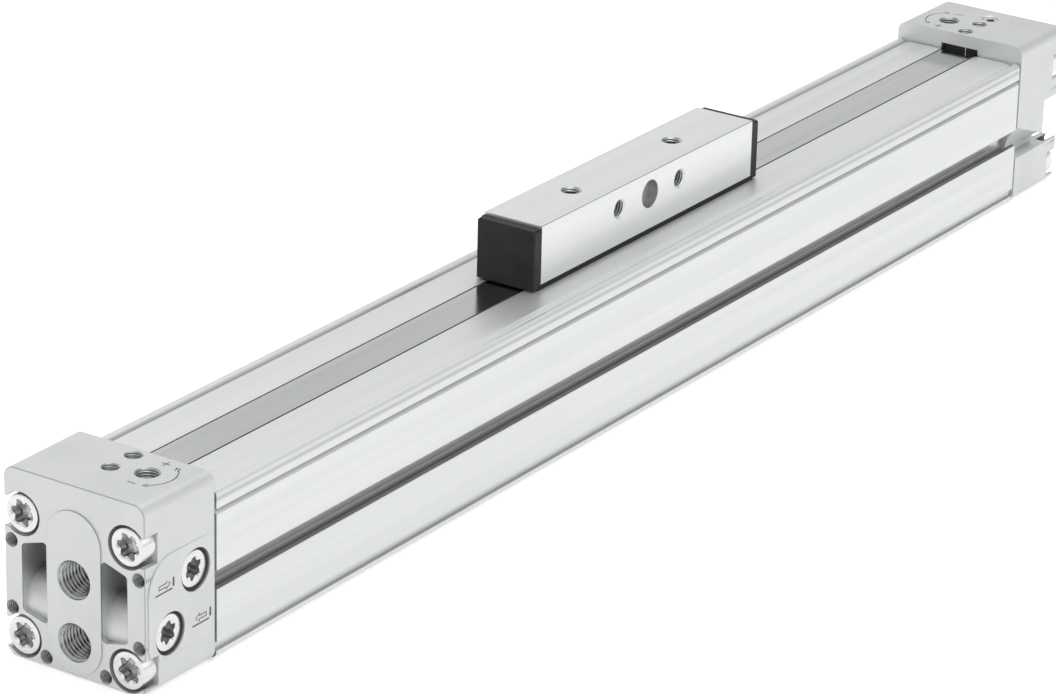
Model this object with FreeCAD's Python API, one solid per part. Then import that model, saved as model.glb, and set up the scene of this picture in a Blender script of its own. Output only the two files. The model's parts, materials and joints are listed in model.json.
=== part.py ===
"""Rodless pneumatic cylinder, 25 mm bore and 250 mm stroke.

X runs along the stroke, from the end cap with the air ports to the far end cap.
Z points up and the end caps rest on z = 0. The T-slot that is in sight faces -Y.
All sizes are in millimetres.
"""
import os
import FreeCAD
import Part
from math import sqrt, tan, cos, sin, pi

V = FreeCAD.Vector
X_AXIS = V(1, 0, 0)
Y_AXIS = V(0, 1, 0)
Z_AXIS = V(0, 0, 1)

# Overall
bore = 25.0
stroke = 250.0
stroke_free_length = 200.0
end_stop_gap = 0.3
rest_offset = 10.0

# Clearances
running_gap = 0.05
thread_gap = 0.03
seat_gap = 0.3

# End caps
cap_length = 26.5
cap_width = 43.0
cap_height = 49.5
cap_corner = 3.0
cap_front_round = 0.3
cap_draft = 0.3
spigot_length = 8.0
spigot_gap = 0.1
spigot_seal_place = 3.7
spigot_seal_section = 0.7
bore_height = 22.0

# Barrel section
barrel_foot = 0.3
plateau_drop = 5.65
plateau_half = 16.3
slope_run = 1.6
slope_drop = 0.35
bead_radius = 1.45
bead_rise = 0.45
valley_drop = 0.65
foot_round = 1.5
line_groove_drop = 4.25
line_groove_width = 1.5
line_groove_depth = 1.1
foot_groove_rise = 1.85
foot_groove_width = 2.4
foot_groove_depth = 1.1
tslot_drop = 0.97
tslot_mouth = 5.05
tslot_lip = 1.5
tslot_inner = 9.4
tslot_depth = 5.5
tslot_slant = 1.2
slot_width = 5.6
duct_radius = 2.5
duct_rise = 4.6

# Bands
cover_band_width = 11.4
cover_band_thick = 0.5
cover_recess_width = 12.0
seal_band_width = 8.0
seal_band_thick = 0.5
seal_seat_gap = 0.2
band_bend_radius = 14.0

# Gasket between cap and barrel
gasket_thick = 0.9
gasket_inset = 0.5

# Cap screws, M6 socket head
screw_square = 32.0
screw_radius = 3.0
screw_head_radius = 5.0
screw_head_height = 5.2
screw_socket = 5.0
screw_reach = 14.0
counterbore_gap = 0.65
screw_hole_gap = 0.3
notch_height = 7.9

# Air ports, G1/8
port_radius = 4.285
port_sink_radius = 5.05
port_depth = 10.0
port_rise = 3.2
port_drop = 13.2
plug_radius = 4.75
plug_length = 6.2
plug_socket = 5.0
plug_sink = 0.6
plug_seat_radius = 5.5
passage_radius = 2.5
side_port_back_x = 19.3
side_port_back_rise = 4.9
side_port_front_x = 9.5
side_port_front_drop = 8.1
side_boss_radius = 8.0

# Small threads in the cap front, M4
small_radius = 1.65
small_depth = 7.0
small_outer_y = 19.25
small_outer_drop = 9.2
small_outer_rise = 8.5
small_inner_y = 9.1
small_inner_z = 2.4

# Relief of the cap front
pad_rise = 0.3
pad_half = 8.2
pocket_depth = 9.5
pocket_outer = 16.0
pocket_drop_inner = 11.1
pocket_drop_outer = 9.1
pocket_rise_inner = 10.7
pocket_rise_outer = 8.3
pocket_round = 1.2

# Relief of the cap side
side_pad_front = 1.5
side_pad_drop = 14.0
side_pad_rise = 12.6
side_pad_round_high = 9.0
side_pad_round_low = 4.0
scoop_below = 4.5
scoop_above = 0.6
scoop_depth = 4.2
scoop_wall = 1.4
scoop_bulge = 1.3
scoop_outer_height = 3.4
window_above = 4.5

# Clamps for the bands in the caps
clamp_cavity_start = 10.5
clamp_cavity_width = 12.6
clamp_mouth_depth = 5.0
clamp_space = 1.75
clamp_recess = 1.2
clamp_side_gap = 0.2
clamp_joint_place = 1.3
clamp_screw_front = 14.3
clamp_screw_back = 23.0
clamp_screw_radius = 2.0
clamp_screw_length = 2.4
clamp_screw_socket = 2.0
clamp_screw_sink = 2.35
seal_band_clamp_reach = 12.0

# End cushions
cushion_bore_radius = 6.1
cushion_bore_depth = 23.0
cushion_seal_width = 2.4
cushion_seal_radius = 7.5
cushion_seal_back = 1.2
cushion_spigot_radius = 5.8
cushion_spigot_length = 14.0
needle_x = 16.8
needle_y = 9.2
needle_sink_radius = 2.75
needle_sink_depth = 6.6
needle_top_drop = 4.5
needle_head_height = 1.8
needle_shank_radius = 2.1
needle_nose_length = 4.4
needle_throttle_length = 6.7
needle_seal_section = 0.42
needle_tip_radius = 1.4
needle_tip_length = 3.0
needle_slot_width = 0.9
needle_slot_depth = 1.0
throttle_radius = 1.6
vent_x = 7.5
vent_radius = 2.6
vent_length = 4.5

# Slider
slider_length = 105.0
slider_width = 18.4
slider_lift = 1.45
slider_height = 16.4
slider_round = 1.5
channel_width = 12.4
channel_depth = 5.9
slider_thread_radius = 2.1
slider_thread_sink = 2.85
slider_top_pitch = 50.0
slider_top_depth = 9.0
slider_side_pitch = 30.0
slider_side_drop = 6.3
centring_radius = 3.95
centring_depth = 2.6
rim_thick = 1.35
cover_thick = 2.3
cover_lift = 0.55
cover_round = 2.2
cover_peg_radius = 1.5
cover_peg_reach = 4.0
cover_peg_pitch = 10.0
cover_peg_drop = 5.7
wiper_thick = 1.2

# Yoke that joins slider and piston
yoke_body_radius = 12.0
web_width = 5.0
web_length = 28.0
plate_length = 56.0
plate_rise = 4.95
bridge_rise = 9.6
bridge_channel = 9.0
dip_margin = 6.0
pin_radius = 1.25
pin_rise = 3.25
pin_inner = 8.0
pin_outer = 22.0
pin_wall = 0.8
hump_margin = 3.7
deflector_length = 7.0

# Piston ends
core_radius = 6.0
core_reach = 10.0
flange_thick = 8.5
flange_radius = 12.1
ring_width = 5.6
ring_groove_depth = 1.6
ring_split = 0.8
magnet_width = 5.0
magnet_radius = 11.7
spacer_thick = 2.0
lip_seal_width = 9.7
spigot_screw_radius = 2.5
spigot_screw_head_radius = 4.25
spigot_screw_head_height = 5.0
spigot_screw_socket = 4.0
spigot_screw_grip = 8.0

# Derived places
total_length = stroke + stroke_free_length
half_length = total_length / 2.0
bore_radius = bore / 2.0
spigot_radius = bore_radius - spigot_gap
barrel_half = half_length - cap_length - gasket_thick
barrel_half_width = cap_width / 2.0
plateau_height = cap_height - plateau_drop
bead_crest = plateau_height + bead_rise
line_groove_top = plateau_height - line_groove_drop
foot_groove_low = barrel_foot + foot_groove_rise
duct_height = barrel_foot + duct_rise
tslot_centre = bore_height - tslot_drop
tslot_low = tslot_centre - tslot_mouth / 2.0
tslot_high = tslot_centre + tslot_mouth / 2.0
pocket_inner = pad_half
scoop_low = tslot_low - scoop_below
scoop_high = tslot_high + scoop_above
side_port_back_z = bore_height + side_port_back_rise
side_port_front_z = bore_height - side_port_front_drop
clamp_cavity_top = plateau_height + clamp_space
cover_seat = plateau_height - cover_band_thick
seal_band_low = bore_height + bore_radius + running_gap
seal_band_high = seal_band_low + seal_band_thick
seal_seat_top = seal_band_high + running_gap
screw_low = bore_height - screw_square / 2.0
screw_high = bore_height + screw_square / 2.0
screw_side = screw_square / 2.0
counterbore_radius = screw_head_radius + counterbore_gap
piston_half = (total_length - stroke) / 2.0 - cap_length - spigot_length - end_stop_gap
needle_top = cap_height - needle_top_drop
needle_bore_bottom = side_port_back_z + needle_throttle_length
needle_shoulder = needle_bore_bottom + seat_gap + needle_nose_length
band_end = half_length - clamp_cavity_start - 1.0
yoke_half = piston_half - spacer_thick - lip_seal_width - magnet_width - flange_thick
slider_bottom = plateau_height + slider_lift
slider_top = slider_bottom + slider_height
channel_top = slider_bottom + channel_depth
slider_side_height = slider_top - slider_side_drop
cover_bottom = plateau_height + cover_lift
cover_peg_height = slider_top - cover_peg_drop
plate_top = plateau_height + plate_rise
pin_height = plateau_height + pin_rise
bridge_low = bore_height + bridge_rise
rim_outer = slider_length / 2.0 + rim_thick
cover_outer = rim_outer + cover_thick
hump_low = plate_top + seat_gap
dip_high = bridge_low - seat_gap
dip_run = yoke_half - web_length / 2.0 - dip_margin
hump_foot = slider_length / 2.0 - wiper_thick - deflector_length + hump_margin


def box(x0, x1, y0, y1, z0, z1):
    """Block between two corners."""
    return Part.makeBox(x1 - x0, y1 - y0, z1 - z0, V(x0, y0, z0))


def rod(radius, start, axis, length):
    """Round bar from a point along an axis."""
    return Part.makeCylinder(radius, length, start, axis)


def cone(radius_0, radius_1, start, axis, length):
    """Conical cut or plug."""
    return Part.makeCone(radius_0, radius_1, length, start, axis)


def hexagon(flats, start, axis, length):
    """Hexagonal socket of a given width across flats."""
    reach = flats / sqrt(3.0)
    turn = FreeCAD.Rotation(Z_AXIS, axis)
    corners = []
    for k in range(7):
        spot = V(reach * cos(k * pi / 3.0), reach * sin(k * pi / 3.0), 0)
        corners.append(start + turn.multVec(spot))
    face = Part.Face(Part.makePolygon(corners))
    return face.extrude(axis * length)


def prism_x(points, x0, x1):
    """Extrude a closed outline of (y, z) points along X."""
    corners = [V(x0, y, z) for y, z in points]
    corners.append(corners[0])
    return Part.Face(Part.makePolygon(corners)).extrude(V(x1 - x0, 0, 0))


def turned(points, start):
    """Revolve an outline of (x, radius) points about the line through start along X."""
    corners = [start + V(x, 0, r) for x, r in points]
    corners.append(corners[0])
    return Part.Face(Part.makePolygon(corners)).revolve(start, X_AXIS, 360)


def on_both_sides(shape):
    """The shape and its mirror image about the XZ plane."""
    return [shape, shape.mirror(V(0, 0, 0), Y_AXIS)]


def solids_of(shapes):
    """Compound of separate solids."""
    return Part.makeCompound(shapes)


def at_near_end(shape):
    """Place a piece drawn with the outer cap face at x = 0 at the near end."""
    placed = shape.copy()
    placed.translate(V(-half_length, 0, 0))
    return placed


def at_far_end(shape):
    """Place the same piece at the far end, turned half round about Z."""
    placed = shape.copy()
    placed.rotate(V(0, 0, 0), Z_AXIS, 180)
    placed.translate(V(half_length, 0, 0))
    return placed


def on_slider(shape):
    """Move a piece drawn about the slider's middle to where the slider rests."""
    placed = shape.copy()
    placed.translate(V(rest_offset, 0, 0))
    return placed


def other_end(shape):
    """Turn a slider piece half round about its middle."""
    placed = shape.copy()
    placed.rotate(V(0, 0, 0), Z_AXIS, 180)
    return placed


def barrel_outline(x):
    """Outer face of the extruded barrel at one place along X."""
    side = barrel_half_width
    bead_y = side - bead_radius
    bead_z = bead_crest - bead_radius
    valley_z = plateau_height - valley_drop
    valley_y = bead_y - sqrt(bead_radius ** 2 - (valley_z - bead_z) ** 2)
    slope_y = plateau_half + slope_run
    slope_z = plateau_height - slope_drop
    groove_low = line_groove_top - line_groove_width
    foot_high = foot_groove_low + foot_groove_width
    step = 0.2
    d = foot_round * (1.0 - sqrt(0.5))
    right = [
        Part.makeLine(V(x, 0, plateau_height), V(x, plateau_half, plateau_height)),
        Part.makeLine(V(x, plateau_half, plateau_height), V(x, slope_y, slope_z)),
        Part.makeLine(V(x, slope_y, slope_z), V(x, valley_y, valley_z)),
        Part.Arc(V(x, valley_y, valley_z), V(x, bead_y, bead_crest), V(x, side, bead_z)).toShape(),
        Part.makeLine(V(x, side, bead_z), V(x, side, line_groove_top)),
        Part.makeLine(V(x, side, line_groove_top), V(x, side - line_groove_depth, line_groove_top)),
        Part.makeLine(V(x, side - line_groove_depth, line_groove_top),
                      V(x, side - line_groove_depth, line_groove_top - 0.5)),
        Part.makeLine(V(x, side - line_groove_depth, line_groove_top - 0.5), V(x, side, groove_low)),
        Part.makeLine(V(x, side, groove_low), V(x, side, foot_high)),
        Part.makeLine(V(x, side, foot_high), V(x, side - foot_groove_depth, foot_high)),
        Part.makeLine(V(x, side - foot_groove_depth, foot_high),
                      V(x, side - foot_groove_depth, foot_groove_low)),
        Part.makeLine(V(x, side - foot_groove_depth, foot_groove_low),
                      V(x, side - step, foot_groove_low)),
        Part.Arc(V(x, side - step, foot_groove_low), V(x, side - step - d, barrel_foot + d),
                 V(x, side - step - foot_round, barrel_foot)).toShape(),
        Part.makeLine(V(x, side - step - foot_round, barrel_foot), V(x, 0, barrel_foot)),
    ]
    left = [edge.mirror(V(0, 0, 0), Y_AXIS) for edge in right]
    return Part.Wire(Part.__sortEdges__(right + left))


def tslot_cut(x0, x1):
    """Undercut slot for position sensors in the +Y side."""
    side = barrel_half_width
    lip = side - tslot_lip
    back = side - tslot_depth
    inner = tslot_inner / 2.0
    slant = tslot_slant
    points = [
        (side + 1.0, tslot_low),
        (lip, tslot_low),
        (lip, tslot_centre - inner),
        (back + slant, tslot_centre - inner),
        (back, tslot_centre - inner + slant),
        (back, tslot_centre + inner - slant),
        (back + slant, tslot_centre + inner),
        (lip, tslot_centre + inner),
        (lip, tslot_high),
        (side + 1.0, tslot_high),
    ]
    return prism_x(points, x0, x1)


def barrel_section(x0, x1):
    """Barrel extrusion with its bore, slot, band seats, T-slots, duct and screw channels."""
    body = Part.Face(barrel_outline(x0)).extrude(V(x1 - x0, 0, 0))
    seal_half = seal_band_width / 2.0 + seal_seat_gap
    cuts = [
        rod(bore_radius, V(x0, 0, bore_height), X_AXIS, x1 - x0),
        box(x0, x1, -slot_width / 2.0, slot_width / 2.0, bore_height, plateau_height),
        box(x0, x1, -seal_half, seal_half, bore_height, seal_seat_top),
        box(x0, x1, -cover_recess_width / 2.0, cover_recess_width / 2.0, cover_seat,
            plateau_height + 1.0),
        rod(duct_radius, V(x0, 0, duct_height), X_AXIS, x1 - x0),
    ]
    cuts += on_both_sides(tslot_cut(x0, x1))
    for z in (screw_low, screw_high):
        cuts += on_both_sides(rod(screw_radius - 0.4, V(x0, screw_side, z), X_AXIS, x1 - x0))
    return body.cut(cuts)


def make_barrel():
    """Aluminium barrel with threaded screw channels at both ends."""
    body = barrel_section(-barrel_half, barrel_half)
    depth = screw_reach + 2.0
    threads = []
    for z in (screw_low, screw_high):
        for x in (-barrel_half, barrel_half - depth):
            thread = rod(screw_radius + thread_gap, V(x, screw_side, z), X_AXIS, depth)
            threads += on_both_sides(thread)
    return body.cut(threads)


def make_gasket():
    """Flat gasket between cap and barrel, near end, outer cap face at x = 0."""
    sheet = barrel_section(cap_length, cap_length + gasket_thick)
    inset = box(cap_length, cap_length + gasket_thick,
                -barrel_half_width + gasket_inset, barrel_half_width - gasket_inset,
                barrel_foot + gasket_inset, plateau_height - gasket_inset)
    trim = cover_recess_width / 2.0 + 0.5
    cuts = [
        rod(bore_radius + 1.0, V(cap_length, 0, bore_height), X_AXIS, gasket_thick),
        box(cap_length, cap_length + gasket_thick, -trim, trim, bore_height, plateau_height),
    ]
    for z in (screw_low, screw_high):
        hole = rod(screw_radius + screw_hole_gap, V(cap_length, screw_side, z), X_AXIS, gasket_thick)
        cuts += on_both_sides(hole)
    return sheet.common(inset).cut(cuts)


def cap_blank():
    """Drafted cap body with rounded long edges and the spigot that enters the bore."""
    h = cap_width / 2.0
    plan = [
        V(pad_rise, -h + cap_draft, 0),
        V(cap_length, -h, 0),
        V(cap_length, h, 0),
        V(pad_rise, h - cap_draft, 0),
        V(pad_rise, -h + cap_draft, 0),
    ]
    body = Part.Face(Part.makePolygon(plan)).extrude(V(0, 0, cap_height))
    corners = []
    for e in body.Edges:
        if e.BoundBox.XLength > cap_length / 2.0:
            corners.append(e)
    body = body.makeFillet(cap_corner, corners)
    rim = [e for e in body.Edges if e.BoundBox.XMax < pad_rise + 0.01]
    body = body.makeFillet(cap_front_round, rim)
    spigot = rod(spigot_radius, V(cap_length - 1.0, 0, bore_height), X_AXIS, spigot_length + 1.0)
    edge = [e for e in spigot.Edges if e.BoundBox.XMin > cap_length]
    spigot = spigot.makeChamfer(0.5, edge)
    width = 3.0 * spigot_seal_section
    start = V(cap_length + spigot_seal_place - width / 2.0, 0, bore_height)
    floor = spigot_radius - 2.0 * (spigot_seal_section + running_gap)
    ring = rod(spigot_radius + 1.0, start, X_AXIS, width)
    ring = ring.cut(rod(floor, start, X_AXIS, width))
    return body.fuse(spigot.cut(ring))


def port_pad():
    """Raised pad round the two front ports, rounded at both ends."""
    low = bore_height - port_drop
    high = bore_height + port_rise + 9.6
    pad = box(0.0, 1.5, -pad_half, pad_half, low, high)
    for z in (low, high):
        pad = pad.fuse(rod(pad_half, V(0, 0, z), X_AXIS, 1.5))
    return pad.removeSplitter()


def front_pockets(open_side):
    """Weight-saving pockets either side of the ports."""
    points = [
        (pocket_inner, bore_height - pocket_drop_inner),
        (pocket_outer, bore_height - pocket_drop_outer),
        (pocket_outer, bore_height + pocket_rise_outer),
        (pocket_inner, bore_height + pocket_rise_inner),
    ]
    pocket = prism_x(points, -0.5, pocket_depth)
    upright = [e for e in pocket.Edges if abs(e.tangentAt(e.FirstParameter).x) > 0.99]
    pocket = pocket.makeFillet(pocket_round, upright)
    if open_side:
        window = box(-0.5, pocket_depth, pocket_outer - 2.0, barrel_half_width + 1.0,
                     scoop_low, tslot_high + window_above)
        pocket = pocket.fuse(window)
    else:
        boss = rod(side_boss_radius, V(side_port_front_x, 0, side_port_front_z), Y_AXIS, cap_width)
        pocket = pocket.cut(boss)
    return on_both_sides(pocket)


def screw_seats():
    """Counterbores, clearance holes and side notches for the four cap screws."""
    cuts = []
    for z, middle in ((screw_low, screw_low), (screw_high, screw_high - 0.35)):
        seat = rod(counterbore_radius, V(-1.0, screw_side, z), X_AXIS, screw_head_height + 1.0)
        hole = rod(screw_radius + screw_hole_gap, V(0, screw_side, z), X_AXIS, cap_length + 1.0)
        notch = box(-1.0, screw_head_height, screw_side, barrel_half_width + 1.0,
                    middle - notch_height / 2.0, middle + notch_height / 2.0)
        cuts += on_both_sides(seat) + on_both_sides(hole) + on_both_sides(notch)
    return cuts


def front_port_cuts():
    """Two threaded air ports in the cap front, and the drillings behind them."""
    high = bore_height + port_rise
    low = bore_height - port_drop
    cuts = []
    for z in (low, high):
        cuts.append(rod(port_radius, V(-1.0, 0, z), X_AXIS, port_depth + 1.0))
        sink = port_sink_radius - port_radius
        cuts.append(cone(port_sink_radius, port_radius, V(0, 0, z), X_AXIS, sink))
    cuts.append(rod(passage_radius, V(port_depth - 1.0, 0, high), X_AXIS, 4.0))
    cuts.append(rod(duct_radius, V(port_depth - 1.0, 0, duct_height), X_AXIS, cap_length))
    return cuts


def small_thread_cuts():
    """Six small threaded holes in the cap front."""
    places = [
        (small_outer_y, bore_height - small_outer_drop),
        (small_outer_y, bore_height + small_outer_rise),
        (small_inner_y, small_inner_z),
    ]
    cuts = []
    for y, z in places:
        cuts += on_both_sides(rod(small_radius, V(-1.0, y, z), X_AXIS, small_depth + 1.0))
    return cuts


def cushion_cuts():
    """Cushion bore, seal groove, needle hole and throttle drillings."""
    tip = cap_length + spigot_length
    start = tip - cushion_bore_depth
    groove = tip - cushion_seal_back - cushion_seal_width
    return [
        rod(cushion_bore_radius, V(start, 0, bore_height), X_AXIS, cushion_bore_depth + 1.0),
        rod(cushion_seal_radius, V(groove, 0, bore_height), X_AXIS, cushion_seal_width),
        rod(needle_sink_radius, V(needle_x, -needle_y, cap_height - needle_sink_depth), Z_AXIS,
            needle_sink_depth + 1.0),
        cone(needle_sink_radius, needle_sink_radius + 0.5,
             V(needle_x, -needle_y, cap_height - 0.5), Z_AXIS, 0.5),
        rod(needle_shank_radius + thread_gap, V(needle_x, -needle_y, needle_bore_bottom), Z_AXIS,
            cap_height - needle_bore_bottom),
        rod(throttle_radius, V(needle_x, -needle_y, side_port_back_z), Z_AXIS,
            needle_bore_bottom - side_port_back_z + 1.0),
        rod(passage_radius, V(side_port_back_x, -needle_y - 1.0, side_port_back_z), Y_AXIS,
            2.0 * needle_y + 2.0),
    ]


def clamp_cuts():
    """Cavity for the cover band and its clamp, slot for the seal band, screw threads."""
    half = clamp_cavity_width / 2.0
    seal_half = seal_band_width / 2.0 + seal_seat_gap
    cuts = [
        box(cap_length - clamp_mouth_depth, cap_length + 1.0, -half, half, cover_seat,
            clamp_cavity_top),
        box(clamp_cavity_start, cap_length, -cover_recess_width / 2.0, cover_recess_width / 2.0,
            cover_seat, clamp_cavity_top),
        box(cap_length - seal_band_clamp_reach - 0.5, cap_length + 1.0, -seal_half, seal_half,
            seal_band_low, seal_seat_top),
    ]
    for x in (clamp_screw_front, clamp_screw_back):
        cuts.append(rod(clamp_screw_radius, V(x, 0, clamp_cavity_top - 0.5), Z_AXIS, cap_height))
        sink = clamp_screw_sink - clamp_screw_radius
        cuts.append(cone(clamp_screw_radius, clamp_screw_sink, V(x, 0, cap_height - sink),
                         Z_AXIS, sink))
    return cuts


def side_port_cuts():
    """Threaded side ports with a ring counterbore, in the +Y side."""
    side = barrel_half_width
    places = ((side_port_back_x, side_port_back_z), (side_port_front_x, side_port_front_z))
    cuts = []
    for x, z in places:
        bottom = side - plug_sink - plug_length
        cuts.append(rod(plug_radius + thread_gap, V(x, bottom, z), Y_AXIS, plug_length + 2.0))
        cuts.append(rod(plug_seat_radius, V(x, side - plug_sink, z), Y_AXIS, 2.0))
    inside = side - plug_sink - plug_length
    cuts.append(rod(passage_radius, V(side_port_back_x, needle_y, side_port_back_z), Y_AXIS,
                    inside - needle_y + 1.0))
    cuts.append(rod(passage_radius, V(side_port_front_x, 0, side_port_front_z), Y_AXIS,
                    inside + 1.0))
    return cuts


def side_pad():
    """Flat pad round the side ports, which stands out as the drafted side falls away."""
    x0 = side_pad_front
    x1 = cap_length
    hi = side_pad_round_high
    lo = side_pad_round_low
    dh = hi * (1.0 - sqrt(0.5))
    dl = lo * (1.0 - sqrt(0.5))
    low = bore_height - side_pad_drop
    high = bore_height + side_pad_rise
    y = barrel_half_width - 1.5
    edges = [
        Part.makeLine(V(x1, y, low), V(x0 + lo, y, low)),
        Part.Arc(V(x0 + lo, y, low), V(x0 + dl, y, low + dl),
                 V(x0, y, low + lo)).toShape(),
        Part.makeLine(V(x0, y, low + lo), V(x0, y, high - hi)),
        Part.Arc(V(x0, y, high - hi), V(x0 + dh, y, high - dh),
                 V(x0 + hi, y, high)).toShape(),
        Part.makeLine(V(x0 + hi, y, high), V(x1, y, high)),
        Part.makeLine(V(x1, y, high), V(x1, y, low)),
    ]
    return Part.Face(Part.Wire(edges)).extrude(V(0, 1.5, 0))


def scoop_section(x, top, wall):
    """Closed outline of the sensor hollow at one place along X."""
    side = barrel_half_width
    deep = side - scoop_depth
    middle = (wall + top) / 2.0 + scoop_bulge / 4.0
    edges = [
        Part.makeLine(V(x, side + 1.0, scoop_low), V(x, deep, scoop_low)),
        Part.makeLine(V(x, deep, scoop_low), V(x, deep, wall)),
        Part.Arc(V(x, deep, wall), V(x, deep + scoop_bulge, middle), V(x, side, top)).toShape(),
        Part.makeLine(V(x, side, top), V(x, side + 1.0, top)),
        Part.makeLine(V(x, side + 1.0, top), V(x, side + 1.0, scoop_low)),
    ]
    return Part.Wire(edges)


def scoop_cut():
    """Hollow in the far cap's +Y side, where a sensor enters the T-slot: it narrows outward."""
    outer_top = scoop_low + scoop_outer_height
    outer = scoop_section(pocket_depth - 0.5, outer_top, scoop_low + scoop_wall)
    inner = scoop_section(cap_length + 0.5, scoop_high, scoop_low + scoop_wall + 0.6)
    return Part.makeLoft([outer, inner], True, True)


def make_near_cap():
    """Cap with both air connections, in front and in the sides."""
    body = cap_blank().fuse([port_pad()] + on_both_sides(side_pad()))
    cuts = screw_seats() + front_port_cuts() + small_thread_cuts()
    cuts += cushion_cuts() + clamp_cuts() + front_pockets(False)
    for cut in side_port_cuts():
        cuts += on_both_sides(cut)
    return body.cut(cuts).removeSplitter()


def make_far_cap():
    """Cap with plugged ports and hollowed sides, drawn like the near one."""
    body = cap_blank().fuse(port_pad())
    cuts = screw_seats() + front_port_cuts() + small_thread_cuts()
    cuts += cushion_cuts() + clamp_cuts() + front_pockets(True)
    cuts += on_both_sides(scoop_cut())
    bottom = cap_height - plug_sink - vent_length
    cuts.append(rod(vent_radius, V(vent_x, 0, bottom), Z_AXIS, vent_length + 2.0))
    cuts.append(cone(vent_radius, vent_radius + 0.4, V(vent_x, 0, cap_height - 0.4), Z_AXIS, 0.4))
    cuts.append(rod(throttle_radius, V(vent_x, 0, bore_height + port_rise), Z_AXIS,
                    bottom - bore_height - port_rise + 1.0))
    return body.cut(cuts).removeSplitter()


def socket_screw(x, y, z, head_radius, head_height, shank_radius, length, socket):
    """Socket-head screw along X, head face at x, shank toward +X."""
    head = rod(head_radius, V(x, y, z), X_AXIS, head_height)
    rim = [e for e in head.Edges if e.BoundBox.XMax < x + 0.01]
    head = head.makeChamfer(head_height * 0.08, rim)
    shank = rod(shank_radius, V(x + head_height, y, z), X_AXIS, length)
    return head.fuse(shank).cut(hexagon(socket, V(x, y, z), X_AXIS, head_height * 0.55))


def make_cap_screws():
    """Four M6 screws through one cap into the barrel."""
    length = cap_length + gasket_thick - screw_head_height + screw_reach
    screws = []
    for z in (screw_low, screw_high):
        screw = socket_screw(0.0, screw_side, z, screw_head_radius, screw_head_height,
                             screw_radius, length, screw_socket)
        screws += on_both_sides(screw)
    return solids_of(screws)


def port_plug(start, axis):
    """Headless plug with a hexagonal socket, its outer face at start, body along axis."""
    body = rod(plug_radius, start, axis, plug_length)
    tip = start + axis * plug_length
    ends = [e for e in body.Edges if len(e.Vertexes) == 1 and e.CenterOfMass.distanceToPoint(tip) < 0.1]
    body = body.makeChamfer(0.6, ends)
    face = [e for e in body.Edges if len(e.Vertexes) == 1 and e.CenterOfMass.distanceToPoint(start) < 0.1]
    body = body.makeChamfer(0.5, face)
    return body.cut(hexagon(plug_socket, start, axis, plug_length * 0.6))


def make_side_plugs():
    """Plugs that close the side ports of the near cap."""
    side = barrel_half_width - plug_sink
    plugs = []
    for x, z in ((side_port_back_x, side_port_back_z), (side_port_front_x, side_port_front_z)):
        plugs += on_both_sides(port_plug(V(x, side, z), V(0, -1, 0)))
    return solids_of(plugs)


def make_front_plugs():
    """Plugs that close the front ports of the far cap."""
    plugs = []
    for z in (bore_height - port_drop, bore_height + port_rise):
        body = rod(port_radius - thread_gap, V(plug_sink + 0.4, 0, z), X_AXIS, plug_length)
        plugs.append(body.cut(hexagon(plug_socket, V(0, 0, z), X_AXIS, plug_length * 0.6)))
    return solids_of(plugs)


def make_vent_plug():
    """Plug in the top of the far cap."""
    top = cap_height - plug_sink
    body = rod(vent_radius - thread_gap, V(vent_x, 0, top - vent_length), Z_AXIS, vent_length)
    return body.cut(hexagon(2.5, V(vent_x, 0, top - 2.4), Z_AXIS, 3.0))


def make_band_clamp():
    """Black plastic clamp that holds the cover band in the cap."""
    half = clamp_cavity_width / 2.0 - clamp_side_gap
    inner = cover_recess_width / 2.0 - clamp_side_gap
    x0 = clamp_cavity_start + 0.5
    x1 = cap_length - clamp_recess
    step = cap_length - clamp_mouth_depth + clamp_side_gap
    body = box(step, x1, -half, half, plateau_height, clamp_cavity_top - 0.1)
    body = body.fuse(box(x0, step, -inner, inner, plateau_height, clamp_cavity_top - 0.1))
    line = box(x1 - 0.4, x1, clamp_joint_place, clamp_joint_place + 0.35, plateau_height,
               clamp_cavity_top)
    return body.cut(line)


def make_clamp_screws():
    """Two grub screws that press the clamp onto the band."""
    screws = []
    low = clamp_cavity_top - 0.1
    for x in (clamp_screw_front, clamp_screw_back):
        body = rod(clamp_screw_radius - thread_gap, V(x, 0, low), Z_AXIS, clamp_screw_length)
        socket = hexagon(clamp_screw_socket, V(x, 0, low + clamp_screw_length * 0.4), Z_AXIS,
                         clamp_screw_length)
        screws.append(body.cut(socket))
    return solids_of(screws)


def make_spigot_seal():
    """O-ring on the cap spigot."""
    centre = V(cap_length + spigot_seal_place, 0, bore_height)
    ring_radius = spigot_radius - spigot_seal_section - running_gap
    return Part.makeTorus(ring_radius, spigot_seal_section, centre, X_AXIS)


def make_cushion_seal():
    """Lip ring that closes round the cushion spigot."""
    x1 = cap_length + spigot_length - cushion_seal_back - 0.1
    x0 = x1 - cushion_seal_width + 0.2
    outer = cushion_seal_radius - 0.1
    inner = cushion_spigot_radius + running_gap
    profile = [
        (x0, outer),
        (x1, outer),
        (x1, inner),
        (x1 - 0.7, inner),
        (x0, inner + 0.7),
    ]
    return turned(profile, V(0, 0, bore_height))


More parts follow.
